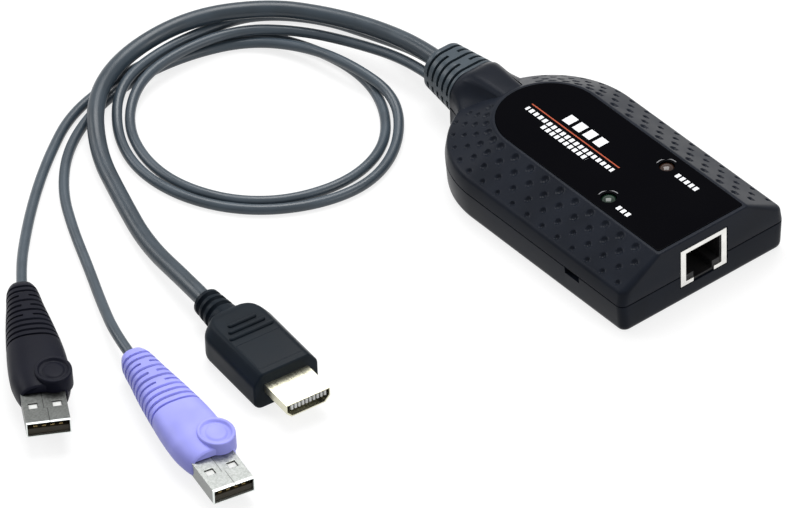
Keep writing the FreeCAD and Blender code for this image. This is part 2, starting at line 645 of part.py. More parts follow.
def make_boot():
    seat = NECK_X + WALL
    boot = fused([boot_form(0), boot_block(BOOT_STUB[0], BOOT_STUB[1], NECK_X, seat),
                  boot_block(BOOT_FLANGE[0], BOOT_FLANGE[1], seat, seat + BOOT_FLANGE[2])])
    reach = OVERALL_LENGTH
    slabs = []
    for row in range(BOOT_SLOT_ROWS):
        x0 = -FRONT_X + BOOT_SLOT_FIRST + row * BOOT_SLOT_PITCH - BOOT_SLOT_WIDTH / 2
        x1 = x0 + BOOT_SLOT_WIDTH
        gap = BOOT_TOP_BRIDGE / 2 if row % 2 else 0
        side = BOOT_SIDE_BRIDGE / 2
        for low, high in ((side, reach), (-reach, -side)):
            for left, right in ((-reach, -gap), (gap, reach)):
                slabs.append(box(x0, x1, left, right, BOOT_Z + low, BOOT_Z + high))
    return boot.cut(fused(slabs).cut(boot_form(BOOT_SLOT_DEPTH)))


# ==== plugs =========================================================================================
def placed(shape, place):
    """Move a plug piece from its own axis to where the plug lies."""
    x, y, z, heading, tilt = place
    moved = shape.copy()
    moved.Placement = FreeCAD.Placement(Vec(x, y, z), FreeCAD.Rotation(heading, -tilt, 0))
    return moved


def oval_section(x, half_width, half_height):
    """Rounded section of a data plug: ends of the oval are half circles, softened flats."""
    radius = half_height * 0.82
    y, z = half_width - radius, half_height - radius
    bend = radius * math.sqrt(0.5)
    edges = []
    corners = [(1, 1), (-1, 1), (-1, -1), (1, -1)]
    for i, (sy, sz) in enumerate(corners):
        centre = Vec(x, sy * y, sz * z)
        if sy * sz > 0:
            first, last = Vec(0, sy * radius, 0), Vec(0, 0, sz * radius)
        else:
            first, last = Vec(0, 0, sz * radius), Vec(0, sy * radius, 0)
        middle = Vec(0, sy * bend, sz * bend)
        edges.append(Part.Arc(centre + first, centre + middle, centre + last).toShape())
        ny, nz = corners[(i + 1) % 4]
        after = Vec(x, ny * y, nz * z)
        step = Vec(0, 0, sz * radius) if sy * sz > 0 else Vec(0, sy * radius, 0)
        edges.append(Part.LineSegment(centre + step, after + step).toShape())
    return Part.Wire(edges)


def data_mold_form(inset):
    """Teardrop body of a data plug, drawn in by inset all round."""
    return Part.makeLoft([oval_section(x, w - inset, h - inset)
                          for x, w, h in DATA_MOLD_SECTIONS], True, False)


def data_shell_block(inset):
    start = DATA_MOLD_LENGTH + DATA_SHELL_OUT - DATA_SHELL_LENGTH
    return box(start, DATA_MOLD_LENGTH + DATA_SHELL_OUT,
               -DATA_SHELL_WIDTH / 2 + inset, DATA_SHELL_WIDTH / 2 - inset,
               -DATA_SHELL_HEIGHT / 2 + inset, DATA_SHELL_HEIGHT / 2 - inset)


def front_curve():
    """Upright cylinder that hollows the mold's front edge between its two lips."""
    half = DATA_SHELL_WIDTH / 2
    radius = (half ** 2 + DATA_FRONT_DISH ** 2) / (2 * DATA_FRONT_DISH)
    centre = DATA_MOLD_LENGTH - DATA_FRONT_DISH + radius
    return upright(radius, centre, 0, -half, half)


def make_data_mold():
    body = data_mold_form(0)
    crown = max(h for x, w, h in DATA_MOLD_SECTIONS)
    long_half, side_half = RING_HALF
    boss = Part.Wire(Part.Ellipse(Vec(RING_X, RING_Y, 0), long_half, side_half).toShape())
    boss = extrude(boss, Vec(0, 0, crown + RING_RISE))
    body = fused([body, boss])
    dish = Part.Wire(Part.Ellipse(Vec(RING_X, RING_Y, crown + RING_RISE - RING_DISH),
                                  long_half - RING_RIM, side_half - RING_RIM).toShape())
    dish = extrude(dish, Vec(0, 0, 2))
    slabs = []
    reach = DATA_MOLD_LENGTH
    for i in range(GROOVE_COUNT):
        x = GROOVE_FIRST + i * GROOVE_PITCH
        if i in GROOVE_SPLIT_ROWS:
            slabs.append(box(x, x + GROOVE_WIDTH, GROOVE_SPLIT / 2, reach, -reach, reach))
            slabs.append(box(x, x + GROOVE_WIDTH, -reach, -GROOVE_SPLIT / 2, -reach, reach))
        else:
            slabs.append(box(x, x + GROOVE_WIDTH, -reach, reach, -reach, reach))
    grooves = Part.makeCompound(slabs).cut(data_mold_form(GROOVE_DEPTH))
    return body.cut([dish, data_shell_block(0), grooves, front_curve(),
                     along_x(DATA_CABLE / 2, 0, 0, -1, PLUG_CABLE_SEAT)])


def make_data_shell():
    shell = data_shell_block(0).cut(data_shell_block(DATA_SHELL_SHEET))
    front = DATA_MOLD_LENGTH + DATA_SHELL_OUT
    inner = data_shell_block(DATA_SHELL_SHEET)
    inner.translate(Vec(DATA_SHELL_LENGTH / 2, 0, 0))
    back = data_shell_block(DATA_SHELL_SHEET)
    back.translate(Vec(-DATA_SHELL_LENGTH / 2, 0, 0))
    shell = shell.cut([inner, back])
    along, across = DATA_WINDOW
    x = front - DATA_WINDOW_BACK
    windows = [box(x - along / 2, x + along / 2, side * DATA_WINDOW_SIDE - across / 2,
                   side * DATA_WINDOW_SIDE + across / 2, -DATA_SHELL_HEIGHT, DATA_SHELL_HEIGHT)
               for side in (-1, 1)]
    return shell.cut(windows)


def make_data_tongue():
    front = DATA_MOLD_LENGTH + DATA_SHELL_OUT
    half = DATA_SHELL_WIDTH / 2 - DATA_SHELL_SHEET
    low = -DATA_SHELL_HEIGHT / 2 + DATA_SHELL_SHEET
    return box(front - DATA_SHELL_LENGTH, front - DATA_TONGUE_RECESS, -half, half,
               low, low + DATA_TONGUE_HEIGHT)


def make_data_contacts():
    front = DATA_MOLD_LENGTH + DATA_SHELL_OUT - DATA_TONGUE_RECESS - 0.6
    top = -DATA_SHELL_HEIGHT / 2 + DATA_SHELL_SHEET + DATA_TONGUE_HEIGHT
    length, width, height = DATA_PAD
    pads = []
    for i in range(DATA_PADS):
        y = (i - (DATA_PADS - 1) / 2) * DATA_PAD_PITCH
        pads.append(box(front - length, front, y - width / 2, y + width / 2, top, top + height))
    return Part.makeCompound(pads)


def video_section(x, inset):
    """Section of the video plug: flat top, slanted upper sides, softened base."""
    half, top, base = VIDEO_MOLD_HALF - inset, VIDEO_TOP_HALF - inset, VIDEO_BOTTOM_HALF - inset
    points = [(x, -base, -VIDEO_TOP_Z + inset), (x, base, -VIDEO_TOP_Z + inset),
              (x, half, VIDEO_LOW_Z), (x, half, VIDEO_SLOPE_Z),
              (x, top, VIDEO_TOP_Z - inset), (x, -top, VIDEO_TOP_Z - inset),
              (x, -half, VIDEO_SLOPE_Z), (x, -half, VIDEO_LOW_Z)]
    return polygon(points)


def video_shell_form(inset, start, stop):
    """Shell section with slanted lower corners, between two distances."""
    half = VIDEO_SHELL_WIDTH / 2 - inset
    top = VIDEO_SHELL_HEIGHT / 2 - inset
    side, rise = VIDEO_SHELL_CHAMFER
    wire = polygon([(start, -half + side, -top), (start, half - side, -top),
                    (start, half, -top + rise), (start, half, top),
                    (start, -half, top), (start, -half, -top + rise)])
    return extrude(wire, Vec(stop - start, 0, 0))


def video_front():
    return VIDEO_BOOT_LENGTH + VIDEO_MOLD_LENGTH


def make_video_mold():
    block = extrude(video_section(VIDEO_BOOT_LENGTH, 0), Vec(VIDEO_MOLD_LENGTH, 0, 0))
    shoulders = [e for e in block.Edges if e.BoundBox.XMax < VIDEO_BOOT_LENGTH + 0.01
                 and e.BoundBox.YMin * e.BoundBox.YMax > 0 and e.BoundBox.YLength < 0.01]
    block = block.makeFillet(VIDEO_SHOULDER, shoulders)
    boot = Part.makeCone(VIDEO_BOOT_RADIUS[0], VIDEO_BOOT_RADIUS[1], VIDEO_BOOT_LENGTH + 2,
                         Vec(0, 0, 0), X_AXIS)
    bars = [box(x - GRIP_BAR_WIDTH / 2, x + GRIP_BAR_WIDTH / 2, -length / 2, length / 2,
                0, VIDEO_TOP_Z + GRIP_BAR_RISE) for x, length in GRIP_BARS]
    body = fused([block, boot] + bars)
    start, stop, half, depth = GRIP_RECESS
    recess = box(start, stop, -half, half, VIDEO_TOP_Z - depth, VIDEO_TOP_Z + 1)
    rings = []
    pitch = VIDEO_BOOT_LENGTH / (VIDEO_BOOT_GROOVES + 1)
    for i in range(VIDEO_BOOT_GROOVES):
        x = pitch * (i + 0.75)
        radius = VIDEO_BOOT_RADIUS[0] + (VIDEO_BOOT_RADIUS[1] - VIDEO_BOOT_RADIUS[0]) * (
            x / VIDEO_BOOT_LENGTH)
        ring = along_x(radius + 1, 0, 0, x - 0.5, x + 0.5)
        rings.append(ring.cut(along_x(radius - 0.7, 0, 0, x - 1, x + 1)))
    seat = video_front() + VIDEO_SHELL_OUT - VIDEO_SHELL_LENGTH
    bore = along_x(VIDEO_CABLE / 2, 0, 0, -1, PLUG_CABLE_SEAT)
    return body.cut([recess, bore, video_shell_form(0, seat, video_front() + 1)] + rings)


def make_video_shell():
    stop = video_front() + VIDEO_SHELL_OUT
    start = stop - VIDEO_SHELL_LENGTH
    return video_shell_form(0, start, stop).cut(
        video_shell_form(VIDEO_SHELL_SHEET, start - 1, stop + 1))


def make_video_tongue():
    """Contact carrier: a block that fills the shell's rear and a thin tongue."""
    stop = video_front() + VIDEO_SHELL_OUT
    start = stop - VIDEO_SHELL_LENGTH
    width, height = VIDEO_TONGUE
    block = video_shell_form(VIDEO_SHELL_SHEET, start, video_front())
    tongue = box(video_front() - 1, stop - VIDEO_TONGUE_RECESS, -width / 2, width / 2,
                 -height / 2, height / 2)
    return fused([block, tongue])


def make_video_contacts():
    """Nineteen pads, one more above the tongue than below."""
    front = video_front() + VIDEO_SHELL_OUT - VIDEO_TONGUE_RECESS - 0.3
    length, width, height = VIDEO_PAD
    half = VIDEO_TONGUE[1] / 2
    pads = []
    for count, base in ((VIDEO_PADS[0], half), (VIDEO_PADS[1], -half - height)):
        for i in range(count):
            y = (i - (count - 1) / 2) * VIDEO_PAD_PITCH
            pads.append(box(front - length, front, y - width / 2, y + width / 2,
                            base, base + height))
    return Part.makeCompound(pads)


# ==== cables =========================================================================================
def tube(name, route, diameter):
    """Cable along straight runs joined by tangent arcs as large as the runs allow."""
    points = [Vec(*p) for p in route]
    edges = []
    radii = []
    last = points[0]
    for before, corner, after in zip(points[:-2], points[1:-1], points[2:]):
        back, ahead = before - corner, after - corner
        reach = 0.45 * min(back.Length, ahead.Length)
        half_turn = (math.pi - back.getAngle(ahead)) / 2
        radius = reach / math.tan(half_turn)
        back.normalize()
        ahead.normalize()
        inwards = back + ahead
        inwards.normalize()
        start, stop = corner + back * reach, corner + ahead * reach
        middle = corner + inwards * (radius / math.cos(half_turn) - radius)
        edges.append(Part.LineSegment(last, start).toShape())
        edges.append(Part.Arc(start, middle, stop).toShape())
        radii.append(radius)
        last = stop
    edges.append(Part.LineSegment(last, points[-1]).toShape())
    path = Part.Wire(edges)
    first = points[1] - points[0]
    ring = Part.Wire(Part.makeCircle(diameter / 2, points[0], first))
    cable = path.makePipeShell([ring], True, True)
    exact = math.pi * diameter ** 2 / 4 * path.Length
    print("%s length %.1f, volume / (section x length) %.5f" % (
        name, path.Length, cable.Volume / exact))
    print("  radii " + " ".join("%.0f" % r for r in radii))
    return cable


# ==== the nodes =========================================================================================
def main():
    os.makedirs("parts", exist_ok=True)
    save("top_cover", make_top_cover())
    save("bottom_cover", make_bottom_cover())
    save("label_panel", make_label_panel())
    for name, side in (("power", 1), ("link", -1)):
        save(name + "_light_guide", make_light_guide(side))
        save(name + "_lamp", make_lamp(side))
    save("circuit_board", make_board())
    for name, place in CHIPS.items():
        save(name, on_board(*place))
    save("capacitors", make_capacitors())
    save("crystal", make_crystal())
    save("small_parts", Part.makeCompound([on_board(x, y, *SMALL_PART_SIZE)
                                           for x, y in SMALL_PARTS]))
    save("video_header", on_board(*VIDEO_HEADER))
    save("data_headers", Part.makeCompound([on_board(*h) for h in DATA_HEADERS]))
    save("video_lead", make_lead(VIDEO_EXIT, VIDEO_CABLE, VIDEO_HEADER))
    save("lavender_data_lead", make_lead(LAVENDER_EXIT, DATA_CABLE, DATA_HEADERS[0]))
    save("black_data_lead", make_lead(BLACK_EXIT, DATA_CABLE, DATA_HEADERS[1]))
    save("case_screws", Part.makeCompound([make_screw(x, y) for x, y in SCREW_PLACES]))
    save("network_jack_shield", make_jack_shield())
    save("network_jack_insert", make_jack_insert())
    save("network_jack_contacts", make_jack_contacts())
    save("recovery_switch_body", make_switch_body())
    save("recovery_switch_slider", make_switch_slider())
    save("cable_boot", make_boot())
    for name, place in (("black", BLACK_PLUG_PLACE), ("lavender", LAVENDER_PLUG_PLACE)):
        save(name + "_plug_mold", placed(make_data_mold(), place))
        save(name + "_plug_shell", placed(make_data_shell(), place))
        save(name + "_plug_tongue", placed(make_data_tongue(), place))
        save(name + "_plug_contacts", placed(make_data_contacts(), place))
    save("video_plug_mold", placed(make_video_mold(), VIDEO_PLUG_PLACE))
    save("video_plug_shell", placed(make_video_shell(), VIDEO_PLUG_PLACE))
    save("video_plug_tongue", placed(make_video_tongue(), VIDEO_PLUG_PLACE))
    save("video_plug_contacts", placed(make_video_contacts(), VIDEO_PLUG_PLACE))
    save("video_cable", tube("video_cable", VIDEO_ROUTE, VIDEO_CABLE))
    save("black_data_cable", tube("black_data_cable", BLACK_ROUTE, DATA_CABLE))
    save("lavender_data_cable", tube("lavender_data_cable", LAVENDER_ROUTE, DATA_CABLE))


main()
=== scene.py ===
import json
import math
from contextlib import contextmanager
from functools import partialmethod

import bmesh
import bpy
from bpy.props import FloatProperty, FloatVectorProperty, PointerProperty
from mathutils import Matrix, Vector


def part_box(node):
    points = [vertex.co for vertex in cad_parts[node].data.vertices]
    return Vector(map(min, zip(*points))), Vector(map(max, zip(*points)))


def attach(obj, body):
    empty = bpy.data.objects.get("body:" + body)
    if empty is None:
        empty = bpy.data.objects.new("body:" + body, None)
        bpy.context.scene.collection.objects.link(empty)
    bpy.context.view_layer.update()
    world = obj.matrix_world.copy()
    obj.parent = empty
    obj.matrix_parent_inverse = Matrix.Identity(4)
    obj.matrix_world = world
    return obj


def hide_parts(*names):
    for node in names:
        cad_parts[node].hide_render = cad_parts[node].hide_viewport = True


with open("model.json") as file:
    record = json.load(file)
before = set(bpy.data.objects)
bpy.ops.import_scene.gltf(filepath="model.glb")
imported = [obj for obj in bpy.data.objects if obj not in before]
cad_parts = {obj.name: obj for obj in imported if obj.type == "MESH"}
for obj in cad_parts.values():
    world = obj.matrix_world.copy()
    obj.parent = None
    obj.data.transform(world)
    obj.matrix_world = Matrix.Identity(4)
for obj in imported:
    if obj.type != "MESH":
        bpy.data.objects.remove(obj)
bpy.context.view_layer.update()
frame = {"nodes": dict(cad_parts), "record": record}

bl_info = {
    "name": "Console Adapter",
    "version": (1, 0, 0),
    "blender": (4, 5, 0),
    "location": "3D View > Sidebar > Console Adapter",
    "description": "Dresses a network console adapter, its three cables and their plugs",
    "category": "Object",
}

MM = 0.001
HOUSING = "adapter"          # the body that everything but the recovery slider rides on


# ==== sizes and colours that a user would change ====
def length(default_mm, name, description):
    """A length property, kept in metres."""
    return FloatProperty(name=name, description=description, default=default_mm * MM,
                         min=0.0, unit="LENGTH", precision=5)


def colour(default, name, description):
    return FloatVectorProperty(name=name, description=description, default=default,
                               min=0.0, max=1.0, size=3, subtype="COLOR")


def share(default, name, description):
    return FloatProperty(name=name, description=description, default=default,
                         min=0.0, max=1.0, subtype="FACTOR")


def angle(default_degrees, name, description):
    return FloatProperty(name=name, description=description, subtype="ANGLE",
                         default=math.radians(default_degrees))


class HousingLooks(bpy.types.PropertyGroup):
    """Covers, panel and boot."""
    cover: colour((0.0080, 0.0105, 0.0170), "Cover", "Colour of both covers")
    panel: colour((0.0008, 0.0008, 0.0018), "Panel", "Colour of the glossy label panel")
    boot: colour((0.042, 0.060, 0.076), "Boot", "Colour of the slotted cable boot")
    grain: share(0.12, "Grain", "Strength of the moulded grain")


class CableLooks(bpy.types.PropertyGroup):
    """The three cables."""
    video: colour((0.022, 0.036, 0.050), "Video jacket", "Colour of the video cable")
    data: colour((0.042, 0.060, 0.078), "Data jacket", "Colour of the two data cables")
    video_diameter: length(5.0, "Video diameter", "Diameter of the video cable")
    data_diameter: length(3.0, "Data diameter", "Diameter of the two data cables")


class PlugLooks(bpy.types.PropertyGroup):
    """Mouldings and metal of the three plugs."""
    black: colour((0.0050, 0.0056, 0.0120), "Black moulding", "Colour of the black data plug")
    lavender: colour((0.365, 0.375, 0.93), "Lavender moulding", "Colour of the lavender data plug")
    video: colour((0.0065, 0.0110, 0.0165), "Video moulding", "Colour of the video plug")
    nickel: colour((0.25, 0.26, 0.25), "Nickel", "Colour of the data plug shells")


class StudioLooks(bpy.types.PropertyGroup):
    """Camera and lights."""
    azimuth: angle(52.2216, "Azimuth", "Camera's angle round the object")
    elevation: angle(39.6136, "Elevation", "Camera's angle above the floor")
    roll: angle(-2.0063, "Roll", "Camera's turn about its own axis")
    distance: length(2192.35, "Distance", "Camera to the point it looks at")
    lens: FloatProperty(name="Lens", description="Focal length on a 36 mm sensor",
                        default=365.95, min=1.0, unit="CAMERA")
    ambient: FloatProperty(name="Ambient", description="Strength of the light from all round",
                           default=0.55, min=0.0)
    key: FloatProperty(name="Key", description="Unit of the softboxes' power, in watts",
                       default=1.6, min=0.0)


# ==== expressions on nodes ====
class Wire:
    """A socket of a node tree; arithmetic on it adds Math nodes."""

    def __init__(self, nodes, socket):
        self.nodes = nodes
        self.socket = socket

    def math(self, operation, *others):
        return self.nodes.node("ShaderNodeMath", {"operation": operation},
                               dict(enumerate((self, *others))))

    def __rsub__(self, other):
        return self.nodes.node("ShaderNodeMath", {"operation": "SUBTRACT"},
                               {0: other, 1: self})

    __add__ = __radd__ = partialmethod(math, "ADD")
    __mul__ = __rmul__ = partialmethod(math, "MULTIPLY")
    __sub__ = partialmethod(math, "SUBTRACT")
    __truediv__ = partialmethod(math, "DIVIDE")
    __pow__ = partialmethod(math, "POWER")
    __lt__ = partialmethod(math, "LESS_THAN")
    __gt__ = partialmethod(math, "GREATER_THAN")
    __abs__ = partialmethod(math, "ABSOLUTE")
    larger = partialmethod(math, "MAXIMUM")

    def repeat(self, period):
        """The value folded into one period, centred on zero."""
        return self.math("WRAP", period / 2, -period / 2)

    def ramp(self, low, high, to_low=0.0, to_high=1.0):
        """Smooth step from to_low at low to to_high at high."""
        return self.nodes.node("ShaderNodeMapRange", {"interpolation_type": "SMOOTHSTEP"},
                               {"Value": self, "From Min": low, "From Max": high,
                                "To Min": to_low, "To Max": to_high})

    def between(self, low, high):
        """A cloud's usual values spread between two numbers."""
        return self.ramp(0.3, 0.7, low, high)


class Nodes:
    """A node tree that grows by one method."""

    def node(self, kind, settings=None, sockets=None, out=0):
        """Any node: settings first, then the values or wires of its sockets."""
        made = self.tree.nodes.new(kind)
        for key, value in (settings or {}).items():
            setattr(made, key, value)
        for key, value in (sockets or {}).items():
            if isinstance(value, Wire):
                self.tree.links.new(value.socket, made.inputs[key])
            else:
                made.inputs[key].default_value = value
        return Wire(self, made.outputs[out]) if made.outputs else made

    def vector(self, operation, sockets, out=0):
        return self.node("ShaderNodeVectorMath", {"operation": operation}, sockets, out)


# ==== finishes ====
GRAIN_CELL = 0.35            # millimetres
BROAD = 0.08                 # clouds to a millimetre
PRINT_RED = (0.45, 0.10, 0.055)
PRINT_WHITE = (0.85, 0.86, 0.88)
# grey of the painted highlight arcs beside the lights
ARC_HIGHLIGHT_GREY = (0.28, 0.28, 0.29)
PRINTED_RULE = (-16.4, 20.8, -0.2, 0.2)
PRINTED_ROWS = [             # ends along X and Y; middle, step and half of one mark
    (-5.9, 10.6, 1.6, 5.2, 0.25, 4.3, 1.5), (-16.1, 20.6, -2.9, -1.3, -2.6, 1.9, 0.62),
    (-7.5, 12.0, -5.0, -3.4, -2.6, 1.9, 0.62), (33.1, 42.3, 9.0, 10.7, 33.9, 1.85, 0.6),
    (33.1, 38.7, -12.1, -10.4, 33.9, 1.85, 0.6)]
ARC_RADIUS = 3.0
ARC_LINE = 0.28


class Finish(Nodes):
    """One material or world."""

    def __init__(self, name, kind="materials"):
        self.owner = getattr(bpy.data, kind).new(name)
        self.owner.use_nodes = True
        self.tree = self.owner.node_tree
        self.tree.nodes.clear()

    def place(self):
        """Object coordinates, in millimetres."""
        seen = self.node("ShaderNodeTexCoord", out="Object")
        return self.vector("SCALE", {0: seen, "Scale": 1 / MM})

    def plug_place(self, place):
        """Distances along, across and above a plug's axis, in millimetres."""
        x, y, z, heading, _ = place
        moved = self.vector("SUBTRACT", {0: self.place(), 1: (x, y, z)})
        return self.axes(self.node("ShaderNodeVectorRotate", {"rotation_type": "Z_AXIS"},
                                   {"Vector": moved, "Angle": -math.radians(heading)}))

    def axes(self, vector):
        """The three parts of a vector."""
        split = self.node("ShaderNodeSeparateXYZ", sockets={0: vector})
        return [Wire(self, out) for out in split.socket.node.outputs]

    def noise(self, vector, scale, detail=2.0, rough=0.5):
        return self.node("ShaderNodeTexNoise", sockets={
            "Vector": vector, "Scale": scale, "Detail": detail, "Roughness": rough})

    def tint(self, base, other, amount):
        """A colour between two others."""
        sides = {socket: side if isinstance(side, Wire) else (*side, 1.0)
                 for socket, side in ((6, base), (7, other))}
        return self.node("ShaderNodeMix", {"data_type": "RGBA"}, {0: amount, **sides}, out=2)

    def mottled(self, tint, cloud, dark=0.9, light=1.12, ends=(0.35, 0.65)):
        """A colour that is a little darker and lighter from place to place."""
        return self.tint(shaded(tint, dark), shaded(tint, light), cloud.ramp(*ends))

    def bump(self, height, strength, distance_mm=0.05):
        return self.node("ShaderNodeBump", sockets={
            "Height": height, "Strength": strength, "Distance": distance_mm * MM})

    def surface(self, tint, rough, normal=None, gloss=0.5, metallic=0.0):
        """Principled shader to the output."""
        sockets = {"Base Color": tint, "Roughness": rough, "Specular IOR Level": gloss,
                   "Metallic": metallic}
        if normal:
            sockets["Normal"] = normal
        shader = self.node("ShaderNodeBsdfPrincipled", sockets=sockets)
        self.node("ShaderNodeOutputMaterial", sockets={"Surface": shader})
        return self.owner


def shaded(tint, factor):
    """A colour made lighter or darker."""
    return tuple(min(part * factor, 1.0) for part in tint)


def moulded(name, tint, rough=0.45, grain=0.12, gloss=0.3):
    """Injection-moulded plastic: fine spark-eroded grain with uneven sheen."""
    finish = Finish(name)
    place = finish.place()
    fine = finish.noise(place, 1 / GRAIN_CELL, 3.0, 0.6)
    broad = finish.noise(place, BROAD)
    return finish.surface(finish.mottled(tint, broad), broad.between(rough - 0.04, rough + 0.05),
                          finish.bump(fine, grain), gloss)


def jacket(name, tint, rough=0.34):
    """Extruded cable jacket: smooth, with faint lay marks of the cores and dust."""
    finish = Finish(name)
    place = finish.place()
    fine = finish.noise(place, 2.2, 3.0, 0.6)
    broad = finish.noise(place, 0.12)
    return finish.surface(finish.mottled(tint, broad, 0.92, 1.1),
                          broad.between(rough - 0.05, rough + 0.05), finish.bump(fine, 0.08))


def ribbed(name, tint, place, line, gloss):
    """Data plug's rubber, with painted shade along the bottom of its grooves."""
    finish = Finish(name)
    spot = finish.place()
    x, y, _ = finish.plug_place(place)
    middle = GROOVE_WIDTH / 2
    groove_shade = abs((x - GROOVES[0] - middle).repeat(GROOVE_STEP)) < 0.24
    groove_shade = groove_shade * (x > GROOVES[0] - 0.8) * (x < GROOVES[-1] + 1.5)
    split = abs((x - GROOVES[SPLIT_ROWS[0]] - middle).repeat(2 * GROOVE_STEP)) < 0.5
    split = split * (x > 7.0) * (x < 19.0) * (abs(y) < SPLIT_HALF + 0.05)
    broad = finish.noise(spot, BROAD)
    base = finish.mottled(tint, broad, 0.93, 1.08)
    # painted shade: the groove bottoms are tinted towards the dark line colour
    return finish.surface(finish.tint(base, line, groove_shade * (1 - split) * 0.95),
                          broad.between(0.38, 0.47),
                          finish.bump(finish.noise(spot, 2.8, 3.0, 0.6), 0.08), gloss)


def shell_metal(name, tint, place, end):
    """Plated plug shell: fine grain, a seam on top and a painted highlight on its rolled front
    edge.
    """
    finish = Finish(name)
    spot = finish.place()
    x, y, z = finish.plug_place(place)
    grain = finish.noise(spot, 1.6, 4.0, 0.7)
    # painted highlight: the shell's last millimetre is tinted pale grey, as if its rolled edge
    # caught the light
    lip_highlight = x.ramp(end - 1.0, end - 0.5)
    seam = (abs(y - 0.9 * (x.ramp(end - 6.4, end - 6.2) - 0.5)) < 0.11) * (z > 2.0)
    base = finish.tint(finish.mottled(tint, grain, 0.8, 1.15), (0.80, 0.84, 0.82), lip_highlight)
    return finish.surface(finish.tint(base, shaded(tint, 0.35), seam), grain.between(0.30, 0.42),
                          finish.bump(grain, 0.10, 0.03), metallic=1.0)


def tongue_plastic(name, place, end):
    """White carrier, with painted shade on its front end inside the shell's mouth."""
    finish = Finish(name)
    x, _, _ = finish.plug_place(place)
    cloud = finish.noise(finish.place(), 0.5)
    pale = finish.tint((0.70, 0.71, 0.69), (0.80, 0.81, 0.79), cloud.between(0.0, 1.0))
    # painted shade: the last 3.2 mm, inside the shell's mouth, are tinted dark brown
    return finish.surface(finish.tint(pale, (0.030, 0.024, 0.014), x > end - 3.2),
                          cloud.between(0.36, 0.46), gloss=0.3)


def video_rubber(tint):
    """Video plug's rubber with the faint outline of its flat field."""
    finish = Finish("video_moulding")
    spot = finish.place()
    x, y, z = finish.plug_place(VIDEO_PLACE)
    middle, half_length, half_width = VIDEO_FIELD
    off = (abs(x - middle) - half_length).larger(abs(y) - half_width)
    field = off.ramp(-0.25, 0.0) * (z > 5.0)
    broad = finish.noise(spot, BROAD)
    fine = finish.noise(spot, 2.8, 3.0, 0.6)
    return finish.surface(finish.mottled(tint, broad), broad.between(0.36, 0.45),
                          finish.bump(field + fine * 0.04, 0.5, 0.25), 0.08)


def plated(name, tint, rough):
    """Plated sheet metal with fine rolling marks along X."""
    finish = Finish(name)
    place = finish.place()
    marks = finish.noise(finish.vector("MULTIPLY", {0: place, 1: (0.3, 6.0, 6.0)}), 1.0, 3.0)
    broad = finish.noise(place, 0.25)
    return finish.surface(finish.mottled(tint, broad, 0.9, 1.0, (0.3, 0.7)),
                          marks.between(rough - 0.05, rough + 0.08),
                          finish.bump(marks, 0.06, 0.03), metallic=1.0)


def glossy_panel(tint):
    """Polished black panel with its printed marks and a painted highlight arc by each light."""
    finish = Finish("glossy_panel")
    place = finish.place()
    x, y, _ = finish.axes(place)
    base = finish.tint(tint, PRINT_RED, patch(x, y, *PRINTED_RULE))
    base = finish.tint(base, PRINT_WHITE, printed_marks(x, y))
    # painted highlight beside each light
    base = finish.tint(base, ARC_HIGHLIGHT_GREY, painted_rim_highlights(finish, place, x, y))
    return finish.surface(base, finish.noise(place, 0.05).between(0.10, 0.16), gloss=0.02)


def patch(x, y, x0, x1, y0, y1):
    """One inside a rectangle, zero outside."""
    return (x > x0) * (x < x1) * (y > y0) * (y < y1)


def printed_marks(x, y):
    """Plain squares and dashes in the places for a name, a title and two labels."""
    found = 0.0
    for x0, x1, y0, y1, middle, step, half in PRINTED_ROWS:
        row = patch(x, y, x0, x1, y0, y1) * (abs((x - middle).repeat(step)) < half)
        found = row.larger(found)
    return found


def painted_rim_highlights(finish, place, x, y):
    """Painted highlight: a fine grey arc on the far side of each light's hole, where its edge
    catches the light.
    """
    found = 0.0
    for name in ("power", "link"):
        low, high = box_mm(name + "_light_guide")
        middle = (low + high) / 2
        flat = finish.vector("MULTIPLY", {0: place, 1: (1.0, 1.0, 0.0)})
        away = finish.vector("DISTANCE", {0: flat, 1: (middle.x, middle.y, 0.0)}, out="Value")
        behind = (y - middle.y) * 0.6 - (x - middle.x) * 0.8
        line = abs(away - ARC_RADIUS) < ARC_LINE / 2
        found = line * (behind > ARC_RADIUS * 0.5) * (behind < ARC_RADIUS * 0.95) + found
    return found


def clear_guide(name, tint):
    """Tinted light guide of clear plastic."""
    finish = Finish(name)
    cloud = finish.noise(finish.place(), 0.8)
    return finish.surface(finish.mottled(tint, cloud, 0.7, 1.0, (0.3, 0.7)), 0.12)


def solder_mask():
    """Green circuit board with tracks under its mask."""
    finish = Finish("solder_mask")
    place = finish.place()
    x, y, _ = finish.axes(place)
    tracks = ((abs(x.repeat(1.6)) < 0.2) * (finish.noise(place, 0.12) > 0.5)).larger(
        (abs(y.repeat(1.9)) < 0.2) * (finish.noise(place, 0.16) > 0.52))
    return finish.surface(finish.tint((0.012, 0.10, 0.045), (0.03, 0.19, 0.08), tracks), 0.3,
                          finish.bump(tracks, 0.3, 0.03))


# ==== meshes ====
def body_name(node):
    return "recovery_slider" if node == "recovery_switch_slider" else HOUSING


def slot_name(node):
    return next(row["material_slot"] for row in frame["record"]["subparts"]
                if row["node"] == node)


def box_mm(node):
    """Low and high corner of a CAD node, in millimetres."""
    return [Vector(corner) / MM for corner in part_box(node)]


def finished(piece, material, node):
    """Material and ride for the piece; the node's slot is looked up but not used, and the node
    that the piece stands for is hidden.
    """
    piece.data.materials.clear()
    piece.data.materials.append(material)
    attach(piece, body_name(node))
    slot_name(node)
    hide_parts(node)
    return piece


def placed(name, data):
    """A new object in the scene."""
    made = bpy.data.objects.new(name, data)
    bpy.context.scene.collection.objects.link(made)
    return made


@contextmanager
def editing(mesh):
    """A mesh opened for editing and written back."""
    edit = bmesh.new()
    edit.from_mesh(mesh)
    yield edit
    edit.to_mesh(mesh)
    edit.free()


